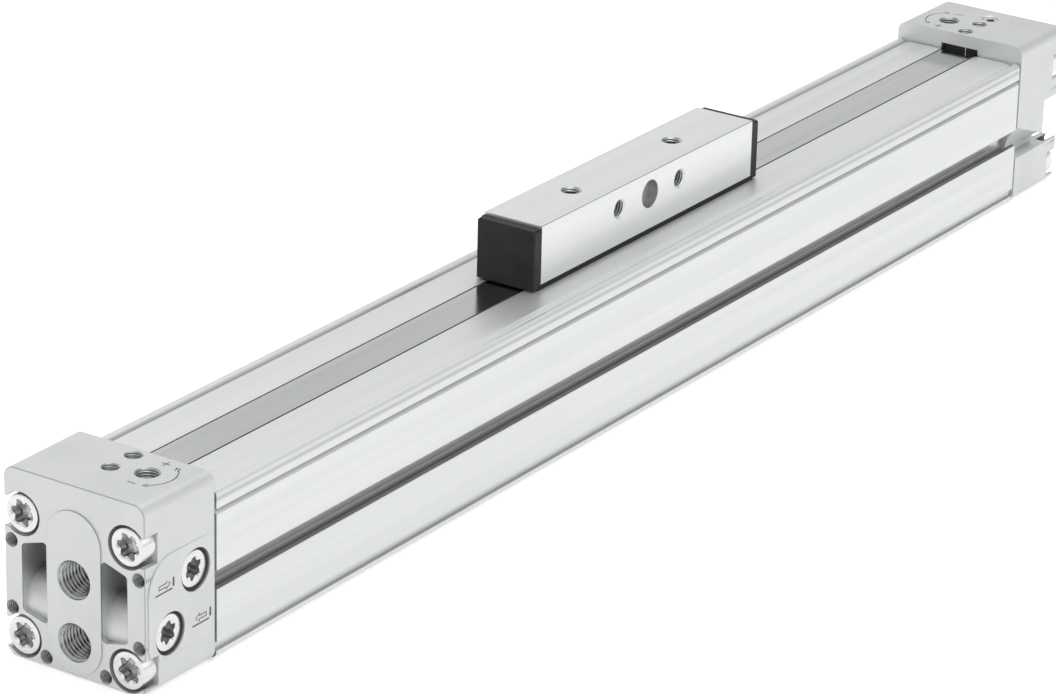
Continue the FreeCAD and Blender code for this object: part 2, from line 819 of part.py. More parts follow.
def make_needle():
    """Slotted adjusting screw of the end cushion, with a groove for its O-ring."""
    nose = needle_shoulder - needle_nose_length
    groove = needle_shank_radius - 2.0 * needle_seal_section - running_gap
    half = needle_seal_section + running_gap
    middle = needle_shoulder - needle_nose_length / 2.0
    head = needle_sink_radius - running_gap
    outline = [
        (needle_top, 0.0),
        (needle_top, head - 0.4),
        (needle_top - 0.4, head),
        (needle_top - needle_head_height, head),
        (needle_top - needle_head_height, needle_shank_radius),
        (middle + half, needle_shank_radius),
        (middle + half, groove),
        (middle - half, groove),
        (middle - half, needle_shank_radius),
        (nose, needle_shank_radius),
        (nose, needle_tip_radius),
        (nose - 0.8, needle_tip_radius),
        (nose - needle_tip_length, 0.3),
        (nose - needle_tip_length, 0.0),
    ]
    corners = [V(needle_x + r, -needle_y, z) for z, r in outline]
    corners.append(corners[0])
    body = Part.Face(Part.makePolygon(corners)).revolve(V(needle_x, -needle_y, 0), Z_AXIS, 360)
    slot = box(needle_x - head, needle_x + head,
               -needle_y - needle_slot_width / 2.0, -needle_y + needle_slot_width / 2.0,
               needle_top - needle_slot_depth, needle_top + 1.0)
    return body.cut(slot)


def make_needle_seal():
    """O-ring in the needle's groove."""
    middle = needle_shoulder - needle_nose_length / 2.0
    ring_radius = needle_shank_radius - needle_seal_section - running_gap / 2.0
    return Part.makeTorus(ring_radius, needle_seal_section, V(needle_x, -needle_y, middle), Z_AXIS)


def bent_strip(places, thick, width):
    """Strip of even thickness along a bent line of (x, z) places, its lower face on the line."""
    edges = []
    last = V(places[0][0], 0, places[0][1])
    for k in range(1, len(places) - 1):
        corner = V(places[k][0], 0, places[k][1])
        before = (V(places[k - 1][0], 0, places[k - 1][1]) - corner).normalize()
        after = (V(places[k + 1][0], 0, places[k + 1][1]) - corner).normalize()
        half_angle = before.getAngle(after) / 2.0
        reach = band_bend_radius / tan(half_angle)
        start = corner + before * reach
        end = corner + after * reach
        inward = (before + after).normalize()
        middle = corner + inward * (band_bend_radius / sin(half_angle) - band_bend_radius)
        edges.append(Part.makeLine(last, start))
        edges.append(Part.Arc(start, middle, end).toShape())
        last = end
    edges.append(Part.makeLine(last, V(places[-1][0], 0, places[-1][1])))
    wire = Part.Wire(edges)
    centre = V(0, 0, thick / 2.0)
    wire.translate(centre)
    sheet = wire.makeOffset2D(thick / 2.0, 2, False, False)
    strip = Part.Face(sheet).extrude(V(0, width, 0))
    strip.translate(V(0, -width / 2.0, 0))
    return strip


def make_cover_band():
    """Steel band over the slot, which rises over the yoke inside the slider."""
    flat = plate_length / 2.0 + 1.0
    m = rest_offset
    places = [
        (-band_end, cover_seat),
        (m - hump_foot, cover_seat),
        (m - flat, hump_low),
        (m + flat, hump_low),
        (m + hump_foot, cover_seat),
        (band_end, cover_seat),
    ]
    return bent_strip(places, cover_band_thick, cover_band_width)


def make_seal_band():
    """Inner band that seals the slot from the bore and dips under the yoke's bridge."""
    flat = web_length / 2.0
    m = rest_offset
    low = dip_high - seal_band_thick
    end = half_length - cap_length + seal_band_clamp_reach
    places = [
        (-end, seal_band_low),
        (m - flat - dip_run, seal_band_low),
        (m - flat, low),
        (m + flat, low),
        (m + flat + dip_run, seal_band_low),
        (end, seal_band_low),
    ]
    return bent_strip(places, seal_band_thick, seal_band_width)


def make_slider_block():
    """Aluminium slider with its band channel, top and side threads."""
    h = slider_length / 2.0
    w = slider_width / 2.0
    body = box(-h, h, -w, w, slider_bottom, slider_top)
    crests = [e for e in body.Edges if e.BoundBox.ZMin > slider_top - 0.01 and e.Length > h]
    body = body.makeFillet(slider_round, crests)
    cuts = [box(-h, h, -channel_width / 2.0, channel_width / 2.0, slider_bottom, channel_top)]
    for side in (-1.0, 1.0):
        x = side * slider_top_pitch / 2.0
        cuts.append(rod(slider_thread_radius, V(x, 0, slider_top - slider_top_depth), Z_AXIS,
                        slider_top_depth + 1.0))
        sink = slider_thread_sink - slider_thread_radius
        cuts.append(cone(slider_thread_radius, slider_thread_sink, V(x, 0, slider_top - sink),
                         Z_AXIS, sink))
        x = side * slider_side_pitch / 2.0
        cuts.append(rod(slider_thread_radius, V(x, -w, slider_side_height), Y_AXIS, slider_width))
        mouth = cone(slider_thread_radius, slider_thread_sink, V(x, w - sink, slider_side_height),
                     Y_AXIS, sink)
        cuts += on_both_sides(mouth)
    centring = rod(centring_radius, V(0, w - centring_depth, slider_side_height), Y_AXIS,
                   centring_depth + 1.0)
    cuts += on_both_sides(centring)
    cuts += pin_cuts()
    for side in (-1.0, 1.0):
        for y in (-cover_peg_pitch / 2.0, cover_peg_pitch / 2.0):
            start = V(side * h, y, cover_peg_height)
            cuts.append(rod(cover_peg_radius + thread_gap, start, X_AXIS * -side, cover_peg_reach))
    return body.cut(cuts)


def pin_places():
    """Places along X of the four cross pins."""
    return (-pin_outer, -pin_inner, pin_inner, pin_outer)


def pin_cuts():
    """Holes for the cross pins, blind from the +Y side."""
    w = slider_width / 2.0
    holes = []
    for x in pin_places():
        holes.append(rod(pin_radius + thread_gap, V(x, -w + pin_wall, pin_height), Y_AXIS,
                         slider_width))
    return holes


def make_cross_pins():
    """Steel pins that hold the yoke's plate in the slider."""
    w = slider_width / 2.0
    length = slider_width - 2.0 * pin_wall
    pins = []
    for x in pin_places():
        pins.append(rod(pin_radius, V(x, -w + pin_wall + 0.05, pin_height), Y_AXIS, length))
    return solids_of(pins)


def make_rim():
    """Thin black plate between the slider and its end cover, +X end."""
    x0 = slider_length / 2.0
    w = slider_width / 2.0
    body = box(x0, x0 + rim_thick, -w, w, slider_bottom, slider_top)
    crests = [e for e in body.Edges if e.BoundBox.ZMin > slider_top - 0.01 and e.BoundBox.YLength < 0.01]
    body = body.makeFillet(slider_round, crests)
    half = channel_width / 2.0
    cuts = [box(x0, x0 + rim_thick, -half, half, slider_bottom, plate_top - 1.5)]
    for y in (-cover_peg_pitch / 2.0, cover_peg_pitch / 2.0):
        cuts.append(rod(cover_peg_radius + thread_gap, V(x0, y, cover_peg_height), X_AXIS,
                        rim_thick))
    return body.cut(cuts)


def make_end_cover():
    """Black end cover with pegs, +X end."""
    w = slider_width / 2.0
    body = box(rim_outer, cover_outer, -w, w, cover_bottom, slider_top)
    rounds = []
    for e in body.Edges:
        outer = e.BoundBox.XMin > cover_outer - 0.01
        upright = e.BoundBox.ZLength > cover_thick
        if outer and upright:
            rounds.append(e)
    body = body.makeFillet(cover_round, rounds)
    tops = []
    for e in body.Edges:
        if e.BoundBox.ZMin > slider_top - 0.01 and e.BoundBox.XMax > rim_outer + 0.01:
            tops.append(e)
    body = body.makeChamfer(0.5, tops)
    pegs = []
    for y in (-cover_peg_pitch / 2.0, cover_peg_pitch / 2.0):
        start = V(rim_outer + 0.5, y, cover_peg_height)
        reach = 0.5 + rim_thick + cover_peg_reach - seat_gap
        pegs.append(rod(cover_peg_radius, start, X_AXIS * -1.0, reach))
    return body.fuse(pegs)


def make_wiper():
    """Felt wiper in the end of the slider's channel, just over the band, +X end."""
    half = channel_width / 2.0 - 0.1
    x1 = rim_outer
    x0 = x1 - rim_thick - wiper_thick
    low = plateau_height + seat_gap
    body = box(x0, x1, -half, half, low, plate_top - 1.5)
    return body


def make_deflector():
    """Plastic shoe that presses the cover band back into its seat, +X end."""
    half = channel_width / 2.0
    x1 = slider_length / 2.0 - wiper_thick
    x0 = x1 - deflector_length
    low = plateau_height + running_gap * 3.0
    points = [
        V(x0, -half, low + 2.6),
        V(x0 + 3.4, -half, low + 0.6),
        V(x0 + 5.0, -half, low),
        V(x1, -half, low),
        V(x1, -half, channel_top),
        V(x0, -half, channel_top),
        V(x0, -half, low + 2.6),
    ]
    return Part.Face(Part.makePolygon(points)).extrude(V(0, channel_width, 0))


def make_guide_strips():
    """Black sliding strips between slider and barrel."""
    outer = slider_width / 2.0
    inner = channel_width / 2.0
    low = plateau_height + running_gap
    strip = box(-rim_outer, rim_outer, inner, outer, low, slider_bottom)
    return solids_of(on_both_sides(strip))


def make_yoke():
    """Yoke: body in the bore, web through the slot and plate in the slider."""
    h = yoke_half
    body = rod(yoke_body_radius, V(-h, 0, bore_height), X_AXIS, 2.0 * h)
    flat = web_length / 2.0
    low = dip_high - seal_band_thick - seat_gap
    lift = seal_band_low - seat_gap
    half = bridge_channel / 2.0
    trough = [
        V(-h, -half, lift),
        V(-flat - dip_run, -half, lift),
        V(-flat, -half, low),
        V(flat, -half, low),
        V(flat + dip_run, -half, lift),
        V(h, -half, lift),
        V(h, -half, plateau_height),
        V(-h, -half, plateau_height),
        V(-h, -half, lift),
    ]
    trough = Part.Face(Part.makePolygon(trough)).extrude(V(0, bridge_channel, 0))
    bores = [
        rod(core_radius + 0.02, V(-h, 0, bore_height), X_AXIS, core_reach + 1.0),
        rod(core_radius + 0.02, V(h, 0, bore_height), X_AXIS * -1.0, core_reach + 1.0),
        rod(spigot_screw_radius + thread_gap, V(-h, 0, bore_height), X_AXIS, 2.0 * h),
    ]
    body = body.cut([trough] + bores)
    bridge = rod(yoke_body_radius, V(-flat, 0, bore_height), X_AXIS, web_length)
    keep = box(-flat, flat, -half, half, bridge_low, bore_height + bore_radius)
    bridge = bridge.common(keep)
    web = box(-flat, flat, -web_width / 2.0, web_width / 2.0, bridge_low + 1.0, plateau_height + 1.0)
    ph = plate_length / 2.0
    pw = channel_width / 2.0
    plate = box(-ph, ph, -pw, pw, plateau_height + seat_gap, plate_top)
    ends = [e for e in plate.Edges if e.BoundBox.ZLength < 0.01 and e.BoundBox.YLength > pw
            and e.BoundBox.ZMin > plate_top - 0.01]
    plate = plate.makeChamfer(1.5, ends)
    return body.fuse([bridge, web, plate]).cut(pin_cuts()).removeSplitter()


def make_carrier():
    """Piston end piece with the guide ring's groove and the core for seal and magnet, +X end."""
    x0 = yoke_half
    tip = piston_half - spacer_thick
    inner = flange_radius - ring_groove_depth
    profile = [
        (x0 - core_reach, spigot_screw_radius + 0.2),
        (x0 - core_reach, core_radius),
        (x0, core_radius),
        (x0, flange_radius),
        (x0 + (flange_thick - ring_width) / 2.0, flange_radius),
        (x0 + (flange_thick - ring_width) / 2.0, inner),
        (x0 + (flange_thick + ring_width) / 2.0, inner),
        (x0 + (flange_thick + ring_width) / 2.0, flange_radius),
        (x0 + flange_thick, flange_radius),
        (x0 + flange_thick, core_radius),
        (tip, core_radius),
        (tip, spigot_screw_radius + 0.2),
    ]
    return turned(profile, V(0, 0, bore_height))


def make_guide_ring():
    """Split guide ring on the piston, +X end."""
    x0 = yoke_half + (flange_thick - ring_width) / 2.0 + 0.1
    x1 = x0 + ring_width - 0.2
    inner = flange_radius - ring_groove_depth + running_gap
    outer = bore_radius - running_gap
    ring = turned([(x0, inner), (x0, outer), (x1, outer), (x1, inner)], V(0, 0, bore_height))
    gap = box(x0, x1, -ring_split / 2.0, ring_split / 2.0, bore_height - bore, bore_height)
    return ring.cut(gap)


def make_magnet():
    """Ring magnet that the position sensors in the T-slots sense, +X end."""
    x0 = yoke_half + flange_thick
    x1 = x0 + magnet_width
    inner = core_radius + running_gap
    return turned([(x0, inner), (x0, magnet_radius), (x1, magnet_radius), (x1, inner)],
                  V(0, 0, bore_height))


def make_lip_seal():
    """Piston lip seal, open toward the pressure, +X end."""
    x0 = yoke_half + flange_thick + magnet_width
    x1 = piston_half - spacer_thick
    inner = core_radius + running_gap
    outer = bore_radius - running_gap
    profile = [
        (x0, inner),
        (x0, outer - 0.9),
        (x1 - 1.6, outer - 0.5),
        (x1 - 0.6, outer),
        (x1 - 0.2, outer - 0.9),
        (x0 + 2.4, outer - 2.2),
        (x0 + 2.4, inner + 2.0),
        (x1, inner + 1.2),
        (x1, inner),
    ]
    return turned(profile, V(0, 0, bore_height))


def make_cushion_spigot():
    """End disc of the piston with the spigot that enters the cap's cushion bore, +X end."""
    x0 = piston_half - spacer_thick
    tip = piston_half + cushion_spigot_length
    recess = spigot_screw_head_radius + 0.25
    depth = spigot_screw_head_height + 0.8
    profile = [
        (x0, spigot_screw_radius + 0.2),
        (x0, magnet_radius),
        (piston_half - 0.5, magnet_radius),
        (piston_half, magnet_radius - 0.5),
        (piston_half, cushion_spigot_radius),
        (tip - 2.5, cushion_spigot_radius),
        (tip, cushion_spigot_radius - 0.7),
        (tip, recess),
        (tip - depth, recess),
        (tip - depth, spigot_screw_radius + 0.2),
    ]
    return turned(profile, V(0, 0, bore_height))


def make_spigot_screw():
    """Screw that clamps a piston end onto the yoke, drawn at the -X end."""
    tip = piston_half + cushion_spigot_length - 0.8
    x = -tip
    length = tip - spigot_screw_head_height - yoke_half + core_reach + spigot_screw_grip
    return socket_screw(x, 0.0, bore_height, spigot_screw_head_radius, spigot_screw_head_height,
                        spigot_screw_radius, length, spigot_screw_socket)


def save(shape, name):
    """Write one node."""
    shape.exportStep("parts/" + name + ".step")


def main():
    os.makedirs("parts", exist_ok=True)
    save(make_barrel(), "barrel_profile")
    save(at_near_end(make_near_cap()), "end_cap_near")
    save(at_far_end(make_far_cap()), "end_cap_far")
    ends = {
        "end_gasket": make_gasket(),
        "cap_screws": make_cap_screws(),
        "band_clamp": make_band_clamp(),
        "band_clamp_screws": make_clamp_screws(),
        "spigot_seal": make_spigot_seal(),
        "cushion_seal": make_cushion_seal(),
        "cushion_screw": make_needle(),
        "cushion_screw_seal": make_needle_seal(),
    }
    for name, shape in ends.items():
        save(at_near_end(shape), name + "_near")
        save(at_far_end(shape), name + "_far")
    save(at_near_end(make_side_plugs()), "side_port_plugs_near")
    save(at_far_end(make_front_plugs()), "front_port_plugs_far")
    save(at_far_end(make_vent_plug()), "top_vent_plug_far")
    save(make_cover_band(), "outer_cover_band")
    save(make_seal_band(), "inner_seal_band")
    save(on_slider(make_slider_block()), "slider_block")
    save(on_slider(make_guide_strips()), "slider_guide_strips")
    save(on_slider(make_yoke()), "piston_yoke")
    save(on_slider(make_cross_pins()), "yoke_cross_pins")
    far_pieces = {
        "slider_rim": make_rim(),
        "slider_cover": make_end_cover(),
        "band_wiper": make_wiper(),
        "band_deflector": make_deflector(),
        "piston_end": make_carrier(),
        "guide_ring": make_guide_ring(),
        "position_magnet": make_magnet(),
        "piston_seal": make_lip_seal(),
        "cushion_spigot": make_cushion_spigot(),
        "spigot_screw": other_end(make_spigot_screw()),
    }
    for name, shape in far_pieces.items():
        save(on_slider(shape), name + "_far")
        save(on_slider(other_end(shape)), name + "_near")


main()
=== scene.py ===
"""Looks of a rodless pneumatic cylinder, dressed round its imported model.

X runs along the stroke, -Y is the long side in sight and Z points up. All lengths are in metres,
apart from those that are said to be in millimetres.
"""
import json
from math import cos, pi, radians, sin

import bmesh
import bpy
from mathutils import Matrix, Vector


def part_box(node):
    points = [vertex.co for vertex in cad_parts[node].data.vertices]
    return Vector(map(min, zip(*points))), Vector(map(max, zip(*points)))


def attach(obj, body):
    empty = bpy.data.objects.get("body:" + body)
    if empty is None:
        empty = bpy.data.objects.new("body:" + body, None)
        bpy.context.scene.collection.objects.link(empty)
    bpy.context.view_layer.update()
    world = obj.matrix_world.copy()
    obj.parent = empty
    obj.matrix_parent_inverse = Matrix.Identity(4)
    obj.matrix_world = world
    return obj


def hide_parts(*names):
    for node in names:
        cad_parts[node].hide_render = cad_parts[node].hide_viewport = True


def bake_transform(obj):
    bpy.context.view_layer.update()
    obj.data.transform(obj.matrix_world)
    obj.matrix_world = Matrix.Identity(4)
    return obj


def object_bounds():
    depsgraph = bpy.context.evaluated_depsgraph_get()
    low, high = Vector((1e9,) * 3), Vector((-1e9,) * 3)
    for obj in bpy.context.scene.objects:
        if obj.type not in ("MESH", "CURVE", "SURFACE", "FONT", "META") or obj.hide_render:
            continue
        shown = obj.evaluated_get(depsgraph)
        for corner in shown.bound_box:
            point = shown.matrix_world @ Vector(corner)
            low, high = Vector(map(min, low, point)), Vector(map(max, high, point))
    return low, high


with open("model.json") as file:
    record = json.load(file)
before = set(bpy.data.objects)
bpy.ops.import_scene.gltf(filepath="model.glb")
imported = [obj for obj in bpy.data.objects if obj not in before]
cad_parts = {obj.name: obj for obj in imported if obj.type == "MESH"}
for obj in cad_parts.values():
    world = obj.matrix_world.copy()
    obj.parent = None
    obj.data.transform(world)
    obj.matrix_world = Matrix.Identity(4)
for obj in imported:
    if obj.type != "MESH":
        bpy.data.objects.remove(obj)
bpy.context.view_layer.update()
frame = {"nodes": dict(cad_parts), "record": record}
mm = 0.001

# Camera, at the photograph's viewing angle
image_width = 1056
image_height = 694
camera_place = Vector((-999.4, -643.6, 497.4)) * mm
camera_azimuth = 33.635
camera_below = 22.235
camera_roll = 1.419
focal_pixels = 4682.0
principal_x = 532.25
principal_y = 345.17
sensor_width = 36.0
camera_near = 0.05
camera_far = 30.0

# Surroundings: their colours, and a soft dark flag that the rounded edges reflect
world_strength = 0.78
horizon_colour = (1.0, 1.0, 1.0)
zenith_colour = (0.86, 0.87, 0.88)
zenith_height = 0.9
flag_colour = (0.62, 0.63, 0.64)
flag_direction = Vector((0.77, -0.38, 0.51)).normalized()
flag_core = 0.985
flag_rim = 0.86

# Lamps: name, place, width, height and power
lamps = (
    ("top_box", (0.1, -0.2, 1.5), 1.6, 1.2, 7.0),
    ("side_box", (0.2, -1.4, 0.7), 1.4, 0.9, 1.9),
    ("back_box", (0.5, 1.5, 0.7), 1.6, 0.7, 1.8),
)

# Floor, with the glow that the camera and the reflections see
floor_half = 6.0
floor_gap = 0.2 * mm
floor_colour = (0.90, 0.90, 0.90)
floor_roughness = 0.9
floor_specular = 0.1
floor_glow = 0.42
floor_glow_reflected = 0.27

# Bands, as they run through the slider
band_lift_flat = 29.0 * mm
band_lift_foot = 48.0 * mm
seal_dip_flat = 14.0 * mm
seal_dip_foot = 34.0 * mm
band_thick = 0.5 * mm
band_play = 0.22 * mm
bend_steps = 8

# Dark strips along the cover band, standing in for the shade in the gaps beside it,
# as (side, height of the foot)
shade_strip_feet = ((-1.0, 43.39 * mm), (1.0, 43.59 * mm))
shade_strip_width = 0.36 * mm
shade_strip_thick = 0.2 * mm
shade_strip_outward = 0.14 * mm

# Light joint across the far clamp's face, measured from the clamp's box
joint_x = (0.02 * mm, 0.38 * mm)
joint_y = (-1.63 * mm, -1.32 * mm)
joint_margins = (0.1 * mm, 0.15 * mm)
joint_inset = 0.04 * mm

# Caps, measured from a cap's outer face, the middle of the width and the standing plane
cap_face = 225.0 * mm
cap_side = 21.5 * mm
cap_top = 49.5 * mm
pad_step = 0.3 * mm
port_heights = (8.8 * mm, 25.2 * mm)
needle_x = 16.8 * mm
needle_y = -9.2 * mm
clamp_spots = (14.3 * mm, 23.0 * mm)
small_holes = ((19.25 * mm, 12.8 * mm), (19.25 * mm, 30.5 * mm), (9.1 * mm, 2.4 * mm))

# Cap screws: (side, height, turn of the socket in degrees)
screw_y = 16.0 * mm
screw_sink = 0.45 * mm
screw_spots = ((-1.0, 6.0 * mm, 226.0), (1.0, 6.0 * mm, 288.0),
               (-1.0, 38.0 * mm, 66.0), (1.0, 38.0 * mm, 128.0))

# Plugs in the near cap's sides: (place along, height, turn of the socket in degrees)
plug_sink = 0.6 * mm
plug_spots = ((9.5 * mm, 13.9 * mm, 278.0), (19.3 * mm, 26.9 * mm, 98.0))

# Profiles from the face on, as (depth under the face, radius) in millimetres
screw_profile = ((0.0, 4.43), (0.12, 4.76), (0.45, 4.88), (4.5, 4.88), (4.75, 4.63),
                 (4.75, 3.0), (40.1, 3.0), (40.9, 2.2))
plug_profile = ((0.0, 4.25), (0.14, 4.61), (0.5, 4.75), (5.6, 4.75), (6.2, 4.15))

# Six-lobed sockets: the radius that the lobes fade into, the rim's width, the depth, and the
# widths over and between the lobes
screw_socket = (3.35 * mm, 0.35 * mm, 3.0 * mm, (6.75 * mm, 4.85 * mm))
plug_socket = (2.95 * mm, 0.25 * mm, 3.2 * mm, (6.0 * mm, 4.4 * mm))
socket_count = 96
socket_centre = 0.4 * mm
socket_rise = 0.25 * mm
socket_wall = 0.6 * mm
floor_lobes = 0.72
rim_lobes = 0.35

# Black ring on the floor of a plug's seat, as (radius, depth under the plug's face) in
# millimetres
seat_ring_section = ((4.70, 0.05), (4.85, -0.12), (5.20, -0.16), (5.44, -0.06), (5.44, 0.03))
seat_ring_count = 72

# Threads: minor and major radius, pitch, radius of the mouth, depth, and facets round them
port_thread = (4.285 * mm, 4.90 * mm, 1.2 * mm, 5.05 * mm, 10.02 * mm, 56)
small_thread = (1.65 * mm, 2.0 * mm, 0.7 * mm, 1.65 * mm, 6.72 * mm, 32)
cushion_thread = (2.75 * mm, 3.05 * mm, 0.75 * mm, 3.25 * mm, 4.4 * mm, 44)
clamp_thread = (2.0 * mm, 2.25 * mm, 0.7 * mm, 2.35 * mm, 1.55 * mm, 36)
top_thread = (2.1 * mm, 2.5 * mm, 0.8 * mm, 2.85 * mm, 9.02 * mm, 44)
side_thread = (2.1 * mm, 2.5 * mm, 0.8 * mm, 2.14 * mm, 7.0 * mm, 44)
thread_steps = 10
tooth_slope = 1.45
tooth_valley = 0.25
cut_play = 0.015 * mm
hole_overhang = 0.4 * mm

# Engraved lines, as (width, depth)
full_line = (0.40 * mm, 0.30 * mm)
thin_line = (0.32 * mm, 0.30 * mm)
crossing_line = (0.32 * mm, 0.285 * mm)
bar_line = (0.64 * mm, 0.42 * mm)
arrow_line = (0.28 * mm, 0.18 * mm)
line_overhang = 0.3 * mm
mitre_limit = 0.4

# Signs round a cushion screw: an arc with an arrow at both ends, a plus and a minus
arc_radius = 7.3 * mm
arc_start = 40.0
arc_turn = 102.0
arc_steps = 24
barb_tip = 1.1 * mm
barb_length = 1.3 * mm
barb_half = 0.75 * mm
plus_spot = Vector((23.5 * mm, 9.4 * mm))
minus_spot = Vector((10.1 * mm, 9.6 * mm))
sign_arm = 1.25 * mm

# Port signs, in millimetres: (place of the bar, height of the line, where the arrow starts,
# its way), the ends of the bar and the line from that spot, and the arrow's outline from its tip
port_signs = ((10.8, 25.5, 9.5, 1.0), (24.8, 12.4, 19.1, -1.0))
sign_bar = ((0.0, 0.35), (0.0, 2.7))
sign_line = ((-6.9, -0.1), (-0.5, -0.1))
sign_arrow = ((0.0, 0.0), (-1.5, 1.0), (-1.5, 0.45), (-4.2, 0.45), (-4.2, -0.45),
              (-1.5, -0.45), (-1.5, -1.0))
arrow_height = 1.55

# Slider: its holes, measured from its middle and its top
top_hole_x = 25.0 * mm
side_hole_x = 15.0 * mm
side_hole_drop = 6.3 * mm
centring_radius = 3.95 * mm
centring_depth = 2.6 * mm
centring_count = 64

# Slider edges, as the solids round them and as they look
slider_round = 1.5 * mm
slider_crisp = 0.12 * mm
cover_round = 2.2 * mm
cover_crisp = 0.8 * mm
edge_slack = 0.002 * mm
black_crest = 0.8 * mm
black_drop = 0.7 * mm

# Meshes: angles that stay sharp, and how near two corners are one
piece_crease = 30.0
turned_crease = 25.0
cut_crease = 28.0
corner_join = 0.0005 * mm

# T-slot: its middle, where its lips lie and how far the painted shade inside it reaches;
# the losses are painted shade, and the negative one is painted light near the slot's top
slot_middle = 21.03 * mm
slot_lip_y = 19.9 * mm
slot_mouth_y = 21.3 * mm
slot_mouth_reach = 2.6 * mm
slot_reach = 4.8 * mm
slot_dark_z = -4.4 * mm
slot_light_z = -1.3 * mm
slot_dark_loss = 0.75
slot_light_loss = -1.5
slot_lip_loss = 0.74

# Painted shade stripes along the barrel's bead, in its valley and down its outer side
bead_foot = 42.9 * mm
valley_y = 18.64 * mm
valley_half = 0.55 * mm
valley_loss = 0.32
flank_y = 20.7 * mm
flank_z = 42.1 * mm
flank_half = 1.0 * mm
flank_loss = 0.34

# Painted shade lines along the slider's crests, and along the rims of the caps' outer faces
crest_width = 0.17 * mm
crest_loss = 0.55
rim_width = 0.3 * mm
rim_turn = 0.92
rim_loss = 0.35

# Shaders: how far an edge turns where its mark (partly wear, partly painted highlight and shade)
# starts and is whole, the noise that breaks that mark up, the openness of the deepest recess
# under painted shade, the range that noise is read over, and samples
edge_turn = (0.995, 0.85)
wear_and_light_grain = 400.0
wear_and_light_range = (0.35, 0.65)
wear_and_light_least = 0.2
recess_openness = 0.10
noise_range = (0.3, 0.7)
edge_samples = 6
recess_samples = 8

# Stretch of a noise: even, or drawn out along the extrusion
even = (1.0, 1.0, 1.0)
along_x = (0.012, 1.0, 1.0)
felt_fibre = (1.0, 0.2, 1.0)

# Nodes whose finish differs from the rest of their slot
finish_of_node = {
    # Gaskets take lighter copies of the black rubber, as painted light that lifts the dark lines
    # of their joints; the far one palest
    "end_gasket_near": "near_gasket_lit_rubber",
    "end_gasket_far": "far_gasket_lit_rubber",
    # Screws sunk in holes take a darker copy of the steel, as painted shade
    "cushion_screw_near": "shaded_socket_steel",
    "cushion_screw_far": "shaded_socket_steel",
    "band_clamp_screws_near": "shaded_socket_steel",
    "band_clamp_screws_far": "shaded_socket_steel",
}


def grey(level):
    """Neutral colour."""
    return (level, level, level)
